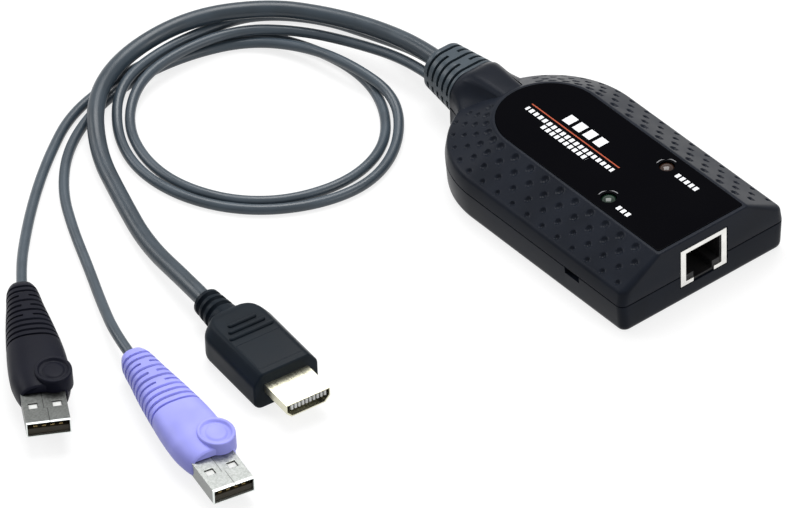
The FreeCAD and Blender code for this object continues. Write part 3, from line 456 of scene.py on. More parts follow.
def smooth_by_angle(mesh, degrees=32.0):
    """Smooth faces that stay sharp across edges over the angle."""
    limit = math.radians(degrees)
    with editing(mesh) as edit:
        for face in edit.faces:
            face.smooth = True
        for edge in edit.edges:
            edge.smooth = len(edge.link_faces) == 2 and edge.calc_face_angle(0.0) < limit


MERGE_MM = 0.002
FLAT_DEGREES = 0.4
EDGE_DEGREES = 34


def rounded_copy(node, edge_mm):
    """A merged copy of a CAD node's mesh with its sharp edges rounded."""
    piece = placed(node + "_skin", frame["nodes"][node].data.copy())
    with editing(piece.data) as edit:
        bmesh.ops.remove_doubles(edit, verts=edit.verts, dist=MERGE_MM * MM)
        bmesh.ops.dissolve_limit(edit, angle_limit=math.radians(FLAT_DEGREES),
                                 verts=edit.verts, edges=edit.edges)
    if edge_mm > 0:
        bevel = piece.modifiers.new("edge", "BEVEL")
        bevel.width = edge_mm * MM
        bevel.segments = 2
        bevel.limit_method = "ANGLE"
        bevel.angle_limit = math.radians(EDGE_DEGREES)
    applied(piece)
    smooth_by_angle(piece.data)
    piece.modifiers.new("normals", "WEIGHTED_NORMAL").keep_sharp = True
    return applied(piece)


def dressed_copies(material, edges):
    """Rounded copies of CAD nodes in one material; each node's rounding in millimetres."""
    for node, edge_mm in edges.items():
        finished(rounded_copy(node, edge_mm), material, node)


def applied(piece):
    """Replaces the piece's mesh by its evaluated one and drops its modifiers."""
    seen = piece.evaluated_get(bpy.context.evaluated_depsgraph_get())
    mesh = bpy.data.meshes.new_from_object(seen)
    piece.modifiers.clear()
    piece.data = mesh
    return piece


def ring_at(x, outline):
    """An outline across X, set at x."""
    return [Vector((x, *point)) for point in outline]


def slab_ring(x, y0, y1, z0, z1):
    return ring_at(x, [(y0, z0), (y1, z0), (y1, z1), (y0, z1)])


def corner_curve(start, corner, stop, steps=4):
    """Points of the arc that rounds a corner between two points on its sides."""
    for i in range(steps + 1):
        t = i / steps
        yield start * (1 - t) ** 2 + corner * 2 * t * (1 - t) + stop * t ** 2


def grid_piece(name, rings):
    """A closed piece through rings of equal count, capped at both ends."""
    mesh = bpy.data.meshes.new(name)
    with editing(mesh) as edit:
        rows = [[edit.verts.new(point * MM) for point in ring] for ring in rings]
        for low, high in zip(rows, rows[1:]):
            for i, vert in enumerate(low):
                nxt = (i + 1) % len(low)
                edit.faces.new((vert, low[nxt], high[nxt], high[i]))
        edit.faces.new(reversed(rows[0]))
        edit.faces.new(rows[-1])
        bmesh.ops.recalc_face_normals(edit, faces=edit.faces)
    return placed(name, mesh)


def block(name, low, high):
    """A box between two corners, for cutting."""
    return grid_piece(name, [slab_ring(x, low[1], high[1], low[2], high[2])
                             for x in (low[0], high[0])])


def rod(name, x, y, radius, low, high, count=40):
    """An upright cylinder."""
    turns = [2 * math.pi * i / count for i in range(count)]
    return grid_piece(name, [[Vector((x + radius * math.cos(t), y + radius * math.sin(t), z))
                              for t in turns] for z in (low, high)])


def combined(piece, others, operation):
    """Boolean of a piece with others, which are used up."""
    for other in others:
        step = piece.modifiers.new("step", "BOOLEAN")
        step.operation = operation
        step.solver = "EXACT"
        step.object = other
    applied(piece)
    for other in others:
        bpy.data.objects.remove(other)
    return piece


def joined(piece, others):
    """One mesh from several pieces."""
    with editing(piece.data) as edit:
        for other in others:
            edit.from_mesh(other.data)
            bpy.data.objects.remove(other)
    return piece


class Geometry(Nodes):
    """A geometry node group."""

    def __init__(self, name, **kinds):
        self.tree = bpy.data.node_groups.new(name, "GeometryNodeTree")
        new_socket = self.tree.interface.new_socket
        self.keys = {label: new_socket(label, in_out="INPUT",
                                       socket_type="NodeSocket" + kind).identifier
                     for label, kind in {"Geometry": "Geometry", **kinds}.items()}
        new_socket("Geometry", in_out="OUTPUT", socket_type="NodeSocketGeometry")
        sockets = self.tree.nodes.new("NodeGroupInput").outputs
        self.inputs = {label: Wire(self, sockets[label]) for label in self.keys}

    def geometry_of(self, label):
        """Geometry of the object that an input names."""
        return self.node("GeometryNodeObjectInfo", sockets={"Object": self.inputs[label]},
                         out="Geometry")

    def attribute(self, name, kind="FLOAT"):
        return self.node("GeometryNodeInputNamedAttribute", {"data_type": kind},
                         {"Name": name})

    def finish(self, geometry):
        """Real geometry with its material, to the group's output."""
        real = self.node("GeometryNodeRealizeInstances", sockets={"Geometry": geometry})
        dressed = self.node("GeometryNodeSetMaterial", sockets={
            "Geometry": real, "Material": self.inputs["Material"]})
        self.node("NodeGroupOutput", sockets={0: dressed})

    def apply(self, piece, **values):
        """Runs the group on a piece and keeps the result as its mesh."""
        step = piece.modifiers.new(self.tree.name, "NODES")
        step.node_group = self.tree
        for label, value in values.items():
            step[self.keys[label]] = value
        return applied(piece)


def cloud_of(name, places, **attributes):
    """Loose points, each with its numbers and vectors by name."""
    mesh = bpy.data.meshes.new(name)
    mesh.from_pydata([Vector(place) * MM for place in places], [], [])
    for label, values in attributes.items():
        plain = len(values) == len(places)
        kind, field = ("FLOAT", "value") if plain else ("FLOAT_VECTOR", "vector")
        mesh.attributes.new(label, kind, "POINT").data.foreach_set(field, values)
    return placed(name, mesh)


# ==== covers ====
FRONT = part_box("top_cover")[1][0] / MM
REAR = FRONT - 64.8          # centre of the round rear
BOOT_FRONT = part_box("bottom_cover")[0][0] / MM
SIDE_STEPS = 230
CORNER_STEPS = 6
FRONT_STEPS = 60
ARC_STEPS = 240

# half width, height, inset of the front, corner radius, rounding; a closed section each
TOP_PROFILE = [
    (13.9, 18.6, 2.0, 0.5, 0.0), (26.6, 12.2, 2.0, 1.2, 0.5), (27.3, 9.15, 2.0, 1.2, 0.0),
    (29.3, 9.15, 0.0, 2.2, 0.15), (28.6, 13.4, 0.0, 2.2, 0.9), (15.9, 21.0, 0.0, 1.1, 0.55),
    (15.2, 21.0, 1.2, 0.8, 0.12), (15.2, 20.1, 1.2, 0.8, 0.0)]
BOTTOM_PROFILE = [
    (26.7, 2.0, 2.0, 1.2, 0.0), (27.3, 9.15, 2.0, 1.2, 0.0), (28.8, 9.15, 0.5, 2.0, 0.0),
    (28.8, 8.8, 0.5, 2.0, 0.0), (29.27, 8.8, 0.0, 2.2, 0.15), (28.7, 0.0, 0.0, 2.2, 1.9),
    (25.5, 0.0, 3.2, 1.0, 0.0)]
GRID_STEP = 0.29             # on long slopes
DENT_ROWS = 4
DENT_FIRST_ROW = 1.85
DENT_ROW_STEP = 3.05
DENT_PITCH = 6.35
DENT_FIRST_X = 7.7
DENT_ARC_STEP = 12.0
DENT_ARC_COUNT = 6
DENT_DIAMETER = 2.5
DENT_SHRINK = 0.3
RIM = (15.9, 21.0)
SHOULDER = (28.6, 13.4)
NECK_SECTIONS = [            # ahead of the boot; crest, top half, waist and foot (half, height)
    (0.0, 18.6, 4.4, 8.0, 16.2, 8.9, 12.5), (1.6, 19.7, 4.6, 7.9, 17.0, 9.2, 13.2),
    (3.6, 20.6, 4.7, 7.5, 17.2, 9.8, 13.4), (7.0, 20.9, 4.6, 6.6, 17.2, 11.2, 13.4),
    (12.0, 20.9, 4.4, 5.4, 17.4, 12.6, 13.2), (17.2, 20.8, 4.2, 4.9, 17.6, 13.2, 13.2)]
NECK_STEPS = 22
NECK_ROUNDING = (2.4, 2.4, 1.6, 0.4)
NECK_LOW = 3.2
NECK_LEAST = 0.9             # half width of the cavity's crest
NECK_INNER = 0.35            # the cavity's rounding to the outer one
PARTING = 9.15
WALL = 2.0
LIGHT_HOLE_RADIUS = 2.2
SOCKET_GAP = 0.3
DENT_DEPTH = 0.62
DENT_POWER = 3.0             # the steeper its wall, the higher
SLOT_HALF = 3.0
SLOT_LOW = (-31.0, PARTING - 2.25)                   # across and up
SLOT_HIGH = (-25.3, 10.0)
SCREWS = [(FRONT - 11.7, 22.5), (REAR - 5.9, 19.0)]  # along, and to either side
SCREW_BORE = 2.9


def d_ring(half, z, inset, corner):
    """Ring of points at one height: flat front, straight sides, round rear."""
    front = FRONT - inset
    straight = front - corner - REAR
    ring = [(REAR + straight * i / SIDE_STEPS, -half) for i in range(SIDE_STEPS)]
    bend = [math.pi / 2 * i / CORNER_STEPS for i in range(CORNER_STEPS)]
    ring += [(front - corner * (1 - math.sin(t)), -half + corner * (1 - math.cos(t)))
             for t in bend]
    span = 2 * (half - corner)
    ring += [(front, -half + corner + span * i / FRONT_STEPS) for i in range(FRONT_STEPS)]
    ring += [(front - corner * (1 - math.cos(t)), half - corner * (1 - math.sin(t)))
             for t in bend]
    ring += [(front - corner - straight * i / SIDE_STEPS, half) for i in range(SIDE_STEPS)]
    for i in range(ARC_STEPS):
        turn = math.pi * i / ARC_STEPS
        ring.append((REAR - half * math.sin(turn), half * math.cos(turn)))
    return [Vector((x, y, z)) for x, y in ring]


def eased(corners):
    """Rows of a section with its corners rounded and its long slopes divided."""
    rows = [corners[0][:4]]
    for before, corner, after in zip(corners, corners[1:], corners[2:]):
        here, rounding = Vector(corner[:4]), corner[4]
        if rounding == 0:
            rows += divided(rows[-1], here)
            continue
        ends = []
        for other in (before, after):
            away = Vector(other[:4]) - here
            ends.append(here + away * min(rounding / math.hypot(away[0], away[1]), 0.5))
        rows += divided(rows[-1], ends[0])
        rows += list(corner_curve(ends[0], here, ends[1]))[1:]
    return [tuple(row) for row in rows + divided(rows[-1], Vector(corners[-1][:4]))]


def divided(start, stop):
    """Rows after start up to stop; only the long outer bevel gets a fine grid."""
    start = Vector(start)
    run, rise = stop[0] - start[0], stop[1] - start[1]
    fine = run < -8 and rise > 4
    count = math.ceil(math.hypot(run, rise) / GRID_STEP) if fine else 1
    return [start.lerp(stop, (i + 1) / count) for i in range(count)]


def softened(corners, rounding):
    """Closed outline with its corners rounded, five points to a corner."""
    count = len(corners)
    outline = []
    for i, corner in enumerate(corners):
        here = Vector(corner)
        ends = [here + (Vector(corners[(i + step) % count]) - here).normalized() * rounding[i]
                for step in (-1, 1)]
        outline += corner_curve(ends[0], here, ends[1])
    return outline


def neck_shapes():
    """Distance ahead of the boot and the section there, in close steps."""
    for i in range(NECK_STEPS + 1):
        ahead = NECK_SECTIONS[-1][0] * i / NECK_STEPS
        yield ahead, eased_between(NECK_SECTIONS, ahead)


def neck_ring(x, low, shape, shrink=0.0):
    """Section of the neck: flat crest, steep flanks, upright sides."""
    crest, top, waist, waist_z, foot, foot_z = shape
    half = [(top, crest), (waist, waist_z), (foot, foot_z), (foot, low)]
    half = [(max(y - shrink, NECK_LEAST), z - (shrink if z > low else 0)) for y, z in half]
    rounding = [part * (NECK_INNER if shrink else 1.0) for part in NECK_ROUNDING]
    return ring_at(x, softened(half + [(-y, z) for y, z in reversed(half)],
                               rounding + rounding[::-1]))


def dent_points():
    """Middle of each dent on the bevel, and its radius."""
    run = SHOULDER[0] - RIM[0]
    fall = RIM[1] - SHOULDER[1]
    for row in range(DENT_ROWS):
        across = DENT_FIRST_ROW + row * DENT_ROW_STEP
        reach, z = RIM[0] + across, RIM[1] - across * fall / run
        odd = row % 2
        radius = (DENT_DIAMETER - row * DENT_SHRINK) / 2
        first = DENT_FIRST_X - odd * DENT_PITCH / 2
        count = int((FRONT - REAR - first) / DENT_PITCH + 0.5 * (1 - odd) + odd)
        for side in (-1, 1):
            for i in range(count):
                yield (FRONT - first - i * DENT_PITCH, side * reach, z), radius
            for k in range(DENT_ARC_COUNT - odd):
                turn = math.radians((k + odd / 2) * DENT_ARC_STEP)
                yield (REAR - reach * math.sin(turn), side * reach * math.cos(turn),
                       z), radius


def dent_group():
    """Presses a round dent into the surface at every point of another object."""
    group = Geometry("press_dents", Dents="Object", Depth="Float", Material="Material")
    dents = group.geometry_of("Dents")
    here = group.node("GeometryNodeInputPosition")
    nearest = group.node("GeometryNodeSampleNearest",
                         sockets={"Geometry": dents, "Sample Position": here})
    where = group.node("GeometryNodeSampleIndex", {"data_type": "FLOAT_VECTOR"},
                       {"Geometry": dents, "Value": here, "Index": nearest})
    radius = group.node("GeometryNodeSampleIndex", sockets={
        "Geometry": dents, "Value": group.attribute("radius"), "Index": nearest})
    away = group.vector("DISTANCE", {0: here, 1: where}, out="Value")
    bowl = (1.0 - (away / radius) ** DENT_POWER).larger(0.0)
    push = group.vector("SCALE", {0: group.node("GeometryNodeInputNormal"),
                                  "Scale": bowl * group.inputs["Depth"] * -1.0})
    group.finish(group.node("GeometryNodeSetPosition", sockets={
        "Geometry": group.inputs["Geometry"], "Offset": push}))
    return group


def neck_cavity():
    return grid_piece("neck_cavity", [
        neck_ring(BOOT_FRONT + ahead + WALL, NECK_LOW + WALL, shape, WALL)
        for ahead, shape in neck_shapes()])


def socket_room():
    """Opening in both covers for the network socket."""
    low, high = box_mm("network_jack_shield")
    return block("socket_room", (FRONT - 2 * WALL, low.y - SOCKET_GAP, low.z - SOCKET_GAP),
                 (FRONT + 1, high.y + SOCKET_GAP, high.z + SOCKET_GAP))


def shell_of(name, profile):
    """The D-shaped part of a cover."""
    return grid_piece(name, [d_ring(*row) for row in eased(profile)])


def hollowed(piece, neck_rings, cuts):
    """A cover joined to its part of the neck, less its cavities."""
    combined(piece, [grid_piece("neck", neck_rings)], "UNION")
    combined(piece, [neck_cavity(), socket_room(), *cuts], "DIFFERENCE")
    smooth_by_angle(piece.data)
    return piece


def build_top_cover(material):
    piece = shell_of("top_cover_skin", TOP_PROFILE)
    rows = list(dent_points())
    cloud = cloud_of("dent_cloud", [place for place, _ in rows],
                     radius=[radius * MM for _, radius in rows])
    dent_group().apply(piece, Dents=cloud, Depth=DENT_DEPTH * MM, Material=material)
    bpy.data.objects.remove(cloud)
    rings = [neck_ring(BOOT_FRONT + ahead, PARTING, shape) for ahead, shape in neck_shapes()]
    holes = []
    for name in ("power", "link"):
        low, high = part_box(name + "_light_guide")
        x, y = ((low[axis] + high[axis]) / 2 / MM for axis in (0, 1))
        holes.append(rod("hole", x, y, LIGHT_HOLE_RADIUS, 10.0, 30.0))
    return hollowed(piece, rings, holes)


def build_bottom_cover():
    rings = [slab_ring(BOOT_FRONT + ahead, -shape[4], shape[4], NECK_LOW, PARTING - 0.35)
             for ahead, shape in neck_shapes()]
    low, high = box_mm("recovery_switch_body")
    middle = (low.x + high.x) / 2
    slot = block("slot", (middle - SLOT_HALF, *SLOT_LOW), (middle + SLOT_HALF, *SLOT_HIGH))
    bores = [rod("bore", x, y, SCREW_BORE, -1.0, 2.1)
             for x, side in SCREWS for y in (side, -side)]
    return hollowed(shell_of("bottom_cover_skin", BOTTOM_PROFILE), rings, [slot, *bores])


# ==== plug mouldings ====
ROUND = 144                  # points in a ring
VIDEO_PLACE = (-23.2, -109.7, 5.9, -6.0, 0.0)       # entry of the cable, heading, tilt
BLACK_PLACE = (-61.55, -143.82, 4.2, -30.0, 3.0)
LAVENDER_PLACE = (-18.1, -139.0, 5.6, -12.0, 0.0)
DATA_LENGTH = 50.0
DATA_SHELL_END = 62.3
DATA_SECTIONS = [            # distance, half width, half height
    (0.0, 3.0, 2.9), (0.5, 3.5, 3.4), (3.0, 4.4, 4.1), (10.0, 5.3, 4.7), (20.0, 6.9, 5.2),
    (31.0, 8.3, 5.5), (41.0, 8.6, 5.4), (46.0, 7.9, 5.1), (49.4, 6.9, 4.6), (50.0, 6.5, 4.2)]
GROOVE_STEP = 2.35
GROOVES = [3.4 + GROOVE_STEP * i for i in range(11)]
GROOVE_WIDTH = 0.6
GROOVE_DEPTH = 0.75
SPLIT_ROWS = (2, 4, 6)
SPLIT_HALF = 1.3
DATA_MOUTH = (6.1, 2.4, 9.0)                        # half sizes, squareness
DATA_MOUTH_ENDS = (49.4, 43.6)
SLIM_START, SLIM_RUN = 12.0, 16.0                   # where the near side and foot draw in
SLIM_SIDE, SLIM_FOOT = 0.08, 0.09                   # and by how much
LEAN_START, FRONT_LEAN = 46.0, 0.8                  # the crest leans back at the front
BORE_ENDS = (4.0, 0.0)
BUTTON = (44.3, 3.7, 5.8, 5.1)                      # middle, half lengths
BUTTON_TOP = 5.95
BUTTON_SHAPE = [             # share of the size, depth below the rim
    (1.02, 5.0), (1.0, 0.5), (0.985, 0.15), (0.95, 0.0), (0.86, 0.0), (0.82, 0.12),
    (0.78, 0.55), (0.74, 0.75), (0.62, 0.75), (0.57, 0.62), (0.52, 0.42), (0.45, 0.35),
    (0.1, 0.30)]
DATA_WINDOWS = (54.6, 3.25, 1.15)    # middle along and across, half a side
WINDOW_PAD = (-0.4, 1.75)    # low and high
VIDEO_COLLAR = 11.0          # where the wide part starts
VIDEO_RIBS = (1.2, 3.9, 6.7)
VIDEO_NECK = (3.8, 4.1, 0.8)                        # radius at the rim, behind it, and growth
VIDEO_LENGTH = 40.5
VIDEO_SHELL_BACK = 33.5
VIDEO_HALF = (10.2, 5.8)
VIDEO_FRONT_ROUNDING = 0.6
VIDEO_FIELD = (32.4, 5.9, 7.0)                      # middle, half length, half width
VIDEO_OUTLINE = [(-7.6, 5.8), (7.6, 5.8), (10.2, 2.4), (10.2, -4.2), (8.6, -5.8),
                 (-8.6, -5.8), (-10.2, -4.2), (-10.2, 2.4)]
VIDEO_SHELL_OUTLINE = [(-6.95, 2.22), (6.95, 2.22), (6.95, -0.52), (5.35, -2.22),
                       (-5.35, -2.22), (-6.95, -0.52)]
VIDEO_SHOULDER = 6.5
GRIP_BARS = [(18.6, 8.8), (21.0, 11.4), (23.5, 13.8)]     # distance, length
GRIP_BAR = (5.95, 1.3)                                    # height, thickness
TEETH = (51.2, 0.95, 1.16, 10)                            # distance, height, step, count
TOOTH = (1.55, 0.68)                                      # length, thickness


def resampled(outline, count=ROUND):
    """Points evenly spread along a closed outline, from the middle of its top."""
    points = [Vector(point) for point in outline]
    points = points + points[:1]
    lengths = [0.0]
    for here, after in zip(points, points[1:]):
        lengths.append(lengths[-1] + (after - here).length)
    ring = []
    for i in range(count):
        goal = lengths[-1] * i / count
        k = max(j for j, reached in enumerate(lengths[:-1]) if reached <= goal)
        share_on = (goal - lengths[k]) / max(lengths[k + 1] - lengths[k], 1e-9)
        ring.append(points[k].lerp(points[k + 1], share_on))
    return ring


def from_top(outline):
    """The outline started at the middle of its top edge, clockwise from the front."""
    first, second = Vector(outline[0]), Vector(outline[1])
    return [tuple((first + second) / 2)] + list(outline[1:]) + [outline[0]]


def oval(half_width, half_height, power=2.5):
    """Points of a rounded section, from its top."""
    ring = []
    for i in range(ROUND):
        turn = 2 * math.pi * i / ROUND
        y, z = math.sin(turn), math.cos(turn)
        ring.append(Vector((half_width * math.copysign(abs(y) ** (2 / power), y),
                            half_height * math.copysign(abs(z) ** (2 / power), z))))
    return ring


def eased_between(rows, x):
    """Values of a table at x, on a smooth curve through its rows."""
    for i in range(len(rows) - 1):
        if x <= rows[i + 1][0]:
            break
    low, high = rows[i], rows[i + 1]
    before, after = rows[max(i - 1, 0)], rows[min(i + 2, len(rows) - 1)]
    span = high[0] - low[0]
    t = min(max((x - low[0]) / span, 0.0), 1.0)
    found = []
    for k in range(1, len(low)):
        enter = (high[k] - before[k]) / (high[0] - before[0]) * span
        leave = (after[k] - low[k]) / (after[0] - low[0]) * span
        found.append(low[k] * (1 + 2 * t) * (1 - t) ** 2 + enter * t * (1 - t) ** 2
                     + high[k] * t * t * (3 - 2 * t) - leave * t * t * (1 - t))
    return found


def groove_depth(x, y):
    """Depth of the ribbing at a place, with round-bottomed grooves."""
    for row, start in enumerate(GROOVES):
        off = abs(x - start - GROOVE_WIDTH / 2) / (GROOVE_WIDTH / 2)
        if off < 1.3 and not (row in SPLIT_ROWS and abs(y) < SPLIT_HALF):
            return GROOVE_DEPTH * max(0.0, 1 - (off / 1.3) ** 4)
    return 0.0


def button_rings():
    """The raised ring with its dished middle, which stands on a data plug."""
    x, y, long_half, side_half = BUTTON
    turns = [2 * math.pi * i / 72 for i in range(72)]
    return [[Vector((x + long_half * size * math.cos(t), y + side_half * size * math.sin(t),
                     BUTTON_TOP - depth)) for t in turns] for size, depth in BUTTON_SHAPE]


def plug_turn(place):
    """From a plug's own axis to where the plug lies."""
    x, y, z, heading, tilt = place
    return (Matrix.Translation((x, y, z)) @ Matrix.Rotation(math.radians(heading), 4, "Z")
            @ Matrix.Rotation(math.radians(-tilt), 4, "Y"))


def set_down(name, rings, place):
    """A piece through rings on a plug's own axis, moved to where the plug lies."""
    move = plug_turn(place)
    return grid_piece(name, [[move @ point for point in ring] for ring in rings])


def data_mold_rings():
    """A data plug's moulding, from the bottom of its cable bore to that of its mouth."""
    rings = [ring_at(x, oval(1.5, 1.5, 2.0)) for x in BORE_ENDS]
    x = 0.0
    while x <= DATA_LENGTH + 1e-6:
        half_width, half_height = eased_between(DATA_SECTIONS, x)
        ring = []
        for y, z in oval(half_width, half_height):
            out = Vector((0, y / half_width ** 2, z / half_height ** 2)).normalized()
            slim = min(max((x - SLIM_START) / SLIM_RUN, 0.0), 1.0)
            y *= 1 - (SLIM_SIDE * slim if y < 0 else 0)
            z *= 1 - (SLIM_FOOT * slim if z < 0 else 0)
            lean = max(x - LEAN_START, 0.0) / (DATA_LENGTH - LEAN_START)
            back = FRONT_LEAN * lean * max(z, 0.0) / 5.0 * (1 - (y / 9.0) ** 2)
            ring.append(Vector((x - back, y, z)) - out * groove_depth(x, y))
        rings.append(ring)
        x += 0.2 if x < 29.0 or 48.0 < x else 0.8
    return rings + [ring_at(x, oval(*DATA_MOUTH)) for x in DATA_MOUTH_ENDS]


def build_data_mold(name, place):
    piece = set_down(name, data_mold_rings(), place)
    return joined(piece, [set_down("button", button_rings(), place)])


def window_pads(place):
    """The carrier's two bosses, which show through the windows of the shell."""
    along, across, half = DATA_WINDOWS
    return [set_down("pad", [slab_ring(x, middle - half, middle + half, *WINDOW_PAD)
                             for x in (along - half, along + half)], place)
            for middle in (-across, across)]


def video_ring(x, inset):
    """Section of the video plug, narrowed at its round shoulders and its edges."""
    ahead = x - VIDEO_COLLAR
    full, tall = VIDEO_HALF
    half = full
    if ahead < VIDEO_SHOULDER:
        half = full - VIDEO_SHOULDER + math.sqrt(
            max(VIDEO_SHOULDER ** 2 - (VIDEO_SHOULDER - ahead) ** 2, 0.0))
    wide = (half - inset) / full
    high = (tall - inset - 0.9 * max(1 - ahead / 3.0, 0.0) ** 2) / tall
    outline = softened([(y * wide, z * high) for y, z in VIDEO_OUTLINE], [0.9] * 8)
    middle = (outline[4] + outline[5]) / 2
    return ring_at(x, resampled([middle] + outline[5:] + outline[:5]))


def video_mold_rings():
    """The video plug's moulding, from the bottom of its cable bore to its shell's."""
    rings = [ring_at(x, oval(2.5, 2.5, 2.0)) for x in BORE_ENDS]
    for x in [0.0] + [0.3 + 0.25 * i for i in range(43)]:
        rim, first, growth = VIDEO_NECK
        radius = first + growth * x / VIDEO_COLLAR if x else rim
        for start in VIDEO_RIBS:
            off = abs(x - start - 0.9) / 0.75
            radius -= 0.9 * max(0.0, 1 - off ** 4)
        rings.append(ring_at(x, oval(radius, radius, 2.0)))
    rings += [video_ring(VIDEO_COLLAR + 0.5 * i, 0.0) for i in range(14)]
    rings += [video_ring(VIDEO_LENGTH - VIDEO_FRONT_ROUNDING * (1 - math.sin(t)),
                         VIDEO_FRONT_ROUNDING * (1 - math.cos(t)))
              for t in (0.0, 0.4, 0.8, 1.2, math.pi / 2)]
    mouth = resampled(from_top(VIDEO_SHELL_OUTLINE))
    return rings + [ring_at(x, mouth) for x in (VIDEO_LENGTH, VIDEO_SHELL_BACK)]


def bar_group():
    """Rounded bars in a row: one at every point, as long as the point says."""
    group = Geometry("grip_bars", Bar="Object", Thickness="Float", Material="Material")
    thick = group.inputs["Thickness"]
    size = group.node("ShaderNodeCombineXYZ", sockets={
        "X": thick, "Y": group.attribute("long"), "Z": thick})
    group.finish(group.node("GeometryNodeInstanceOnPoints", sockets={
        "Points": group.inputs["Geometry"], "Instance": group.geometry_of("Bar"),
        "Rotation": group.attribute("turn", "FLOAT_VECTOR"), "Scale": size}))
    return group


def pill():
    """A bar one millimetre long with rounded long edges, to be stretched."""
    arc = [math.pi * i / 8 for i in range(9)]
    half = [(0.5 * math.cos(t), 0.4 * math.sin(t)) for t in arc] + [(-0.5, -0.6), (0.5, -0.6)]
    return grid_piece("pill", [
        [Vector((x * small, y, z * small)) for x, z in half]
        for y, small in ((-0.5, 0.55), (-0.47, 0.9), (-0.44, 1.0), (0.44, 1.0), (0.47, 0.9),
                         (0.5, 0.55))])


def video_bars(name, places, long, thick, tilt, material):
    """Rounded bars at places on the video plug's axis, each with its length."""
    move = plug_turn(VIDEO_PLACE)
    turn = (tilt, 0.0, math.radians(VIDEO_PLACE[3]))
    bars = cloud_of(name, [move @ Vector(place) for place in places], long=long,
                    turn=turn * len(places))
    bar = pill()
    bar_group().apply(bars, Bar=bar, Thickness=thick, Material=material)
    bpy.data.objects.remove(bar)
    return bars


def build_video_mold(material):
    piece = set_down("video_plug_mold_skin", video_mold_rings(), VIDEO_PLACE)
    height, thick = GRIP_BAR
    return joined(piece, [video_bars("bars", [(along, 0, height) for along, _ in GRIP_BARS],
                                     [long for _, long in GRIP_BARS], thick, 0.0, material)])


def tooth_row(material):
    """The light ends of the upper contacts, side by side in the shell's mouth."""
    along, height, step, count = TEETH
    long, thick = TOOTH
    places = [(along, (i - (count - 1) / 2) * step, height) for i in range(count)]
    return video_bars("teeth", places, [long] * count, thick, math.pi / 2, material)


# ==== cables ====
VIDEO_ROUTE = [
    (-56.1, -0.4, 12.4), (-64.1, -0.4, 12.4), (-79.6, -3.0, 11.3), (-95.1, -9.0, 10.4),
    (-110.0, -18.8, 9.7), (-121.2, -37.9, 9.4), (-123.9, -59.3, 6.2), (-114.1, -78.5, 6.5),
    (-96.6, -91.0, 3.2), (-76.6, -98.0, 2.5), (-56.1, -104.8, 2.6), (-33.15, -108.65, 5.9),
    (-19.22, -110.12, 5.9)]
BLACK_ROUTE = [
    (-56.1, -3.3, 8.2), (-66.6, -3.3, 8.2), (-86.1, -8.0, 5.6), (-101.6, -16.0, 4.9),
    (-112.6, -28.5, 5.1), (-115.6, -46.0, 5.2), (-113.6, -63.0, 4.4), (-103.6, -75.5, 1.5),
    (-87.1, -82.0, 1.5), (-71.1, -81.5, 1.5), (-55.6, -74.0, 1.5), (-45.6, -61.0, 1.5),
    (-42.1, -43.4, 1.5), (-47.6, -27.5, 1.5), (-61.1, -16.5, 1.5), (-77.1, -12.0, 1.5),
    (-94.1, -14.5, 1.5), (-110.1, -22.0, 1.5), (-118.6, -36.5, 1.5), (-121.6, -53.5, 1.5),
    (-120.3, -70.6, 1.5), (-116.0, -86.2, 1.5), (-106.2, -100.4, 1.5), (-95.8, -113.0, 1.5),
    (-83.6, -125.6, 1.9), (-68.85, -138.7, 3.73), (-58.091, -145.817, 4.409)]
LAVENDER_ROUTE = [
    (-56.1, 2.0, 7.8), (-66.6, 2.0, 7.8), (-86.6, 1.0, 2.6), (-104.1, -4.5, 1.5),
    (-117.6, -16.5, 1.5), (-117.6, -33.0, 5.6), (-119.6, -50.5, 4.9), (-115.1, -69.0, 5.1),
    (-102.1, -80.5, 1.5), (-84.6, -86.5, 1.5), (-66.1, -84.0, 1.5), (-50.1, -74.0, 1.5),
    (-39.9, -58.0, 1.5), (-37.4, -40.5, 1.5), (-45.6, -24.0, 1.5), (-60.6, -12.5, 3.6),
    (-78.6, -15.0, 6.0), (-96.1, -18.5, 3.9), (-110.6, -27.5, 1.5), (-116.6, -44.5, 1.5),
    (-117.6, -62.5, 1.5), (-113.6, -80.0, 1.5), (-104.6, -95.5, 1.5), (-91.1, -107.5, 1.5),
    (-75.6, -115.5, 1.5), (-59.1, -122.5, 1.5), (-45.1, -129.0, 2.1),
    (-27.88, -136.92, 5.6), (-14.19, -139.83, 5.6)]


def cable(node, route, diameter):
    """A smooth round cable along its route."""
    curve = bpy.data.curves.new(node + "_jacket", "CURVE")
    curve.dimensions = "3D"
    curve.bevel_depth = diameter / 2
    curve.bevel_resolution = 6
    curve.resolution_u = 10
    curve.use_fill_caps = True
    spline = curve.splines.new("NURBS")
    spline.points.add(len(route) - 1)
    for point, place in zip(spline.points, route):
        point.co = (*(Vector(place) * MM), 1.0)
    spline.order_u = 3
    spline.use_endpoint_u = True
    spline.use_smooth = True
    return placed(node + "_jacket", curve)


# ==== stage ====
FLOOR_HALF = 3.0
FLOOR_LEVEL = -0.02 * MM
FLOOR_GREY = 0.27
FLOOR_GLOW = 0.78
LOOK_AT = Vector((-11.167, -54.25, 0.0)) * MM
LIT_MIDDLE = Vector((-0.02, -0.05, 0.0))
SOFTBOXES = {                # place, side and how often the key's power
    "overhead_box": ((-0.35, 0.25, 1.0), 0.7, 6), "side_box": ((-0.9, -0.5, 0.6), 0.5, 2),
    "front_box": ((1.0, 0.3, 0.45), 0.6, 2)}


def seen_directly(finish):
    """One for camera, glossy and transmitted rays, zero for the light they gather."""
    rays = finish.node("ShaderNodeLightPath", out="Is Camera Ray")
    outputs = rays.socket.node.outputs
    return rays.larger(Wire(finish, outputs["Is Glossy Ray"])).larger(
        Wire(finish, outputs["Is Transmission Ray"]))


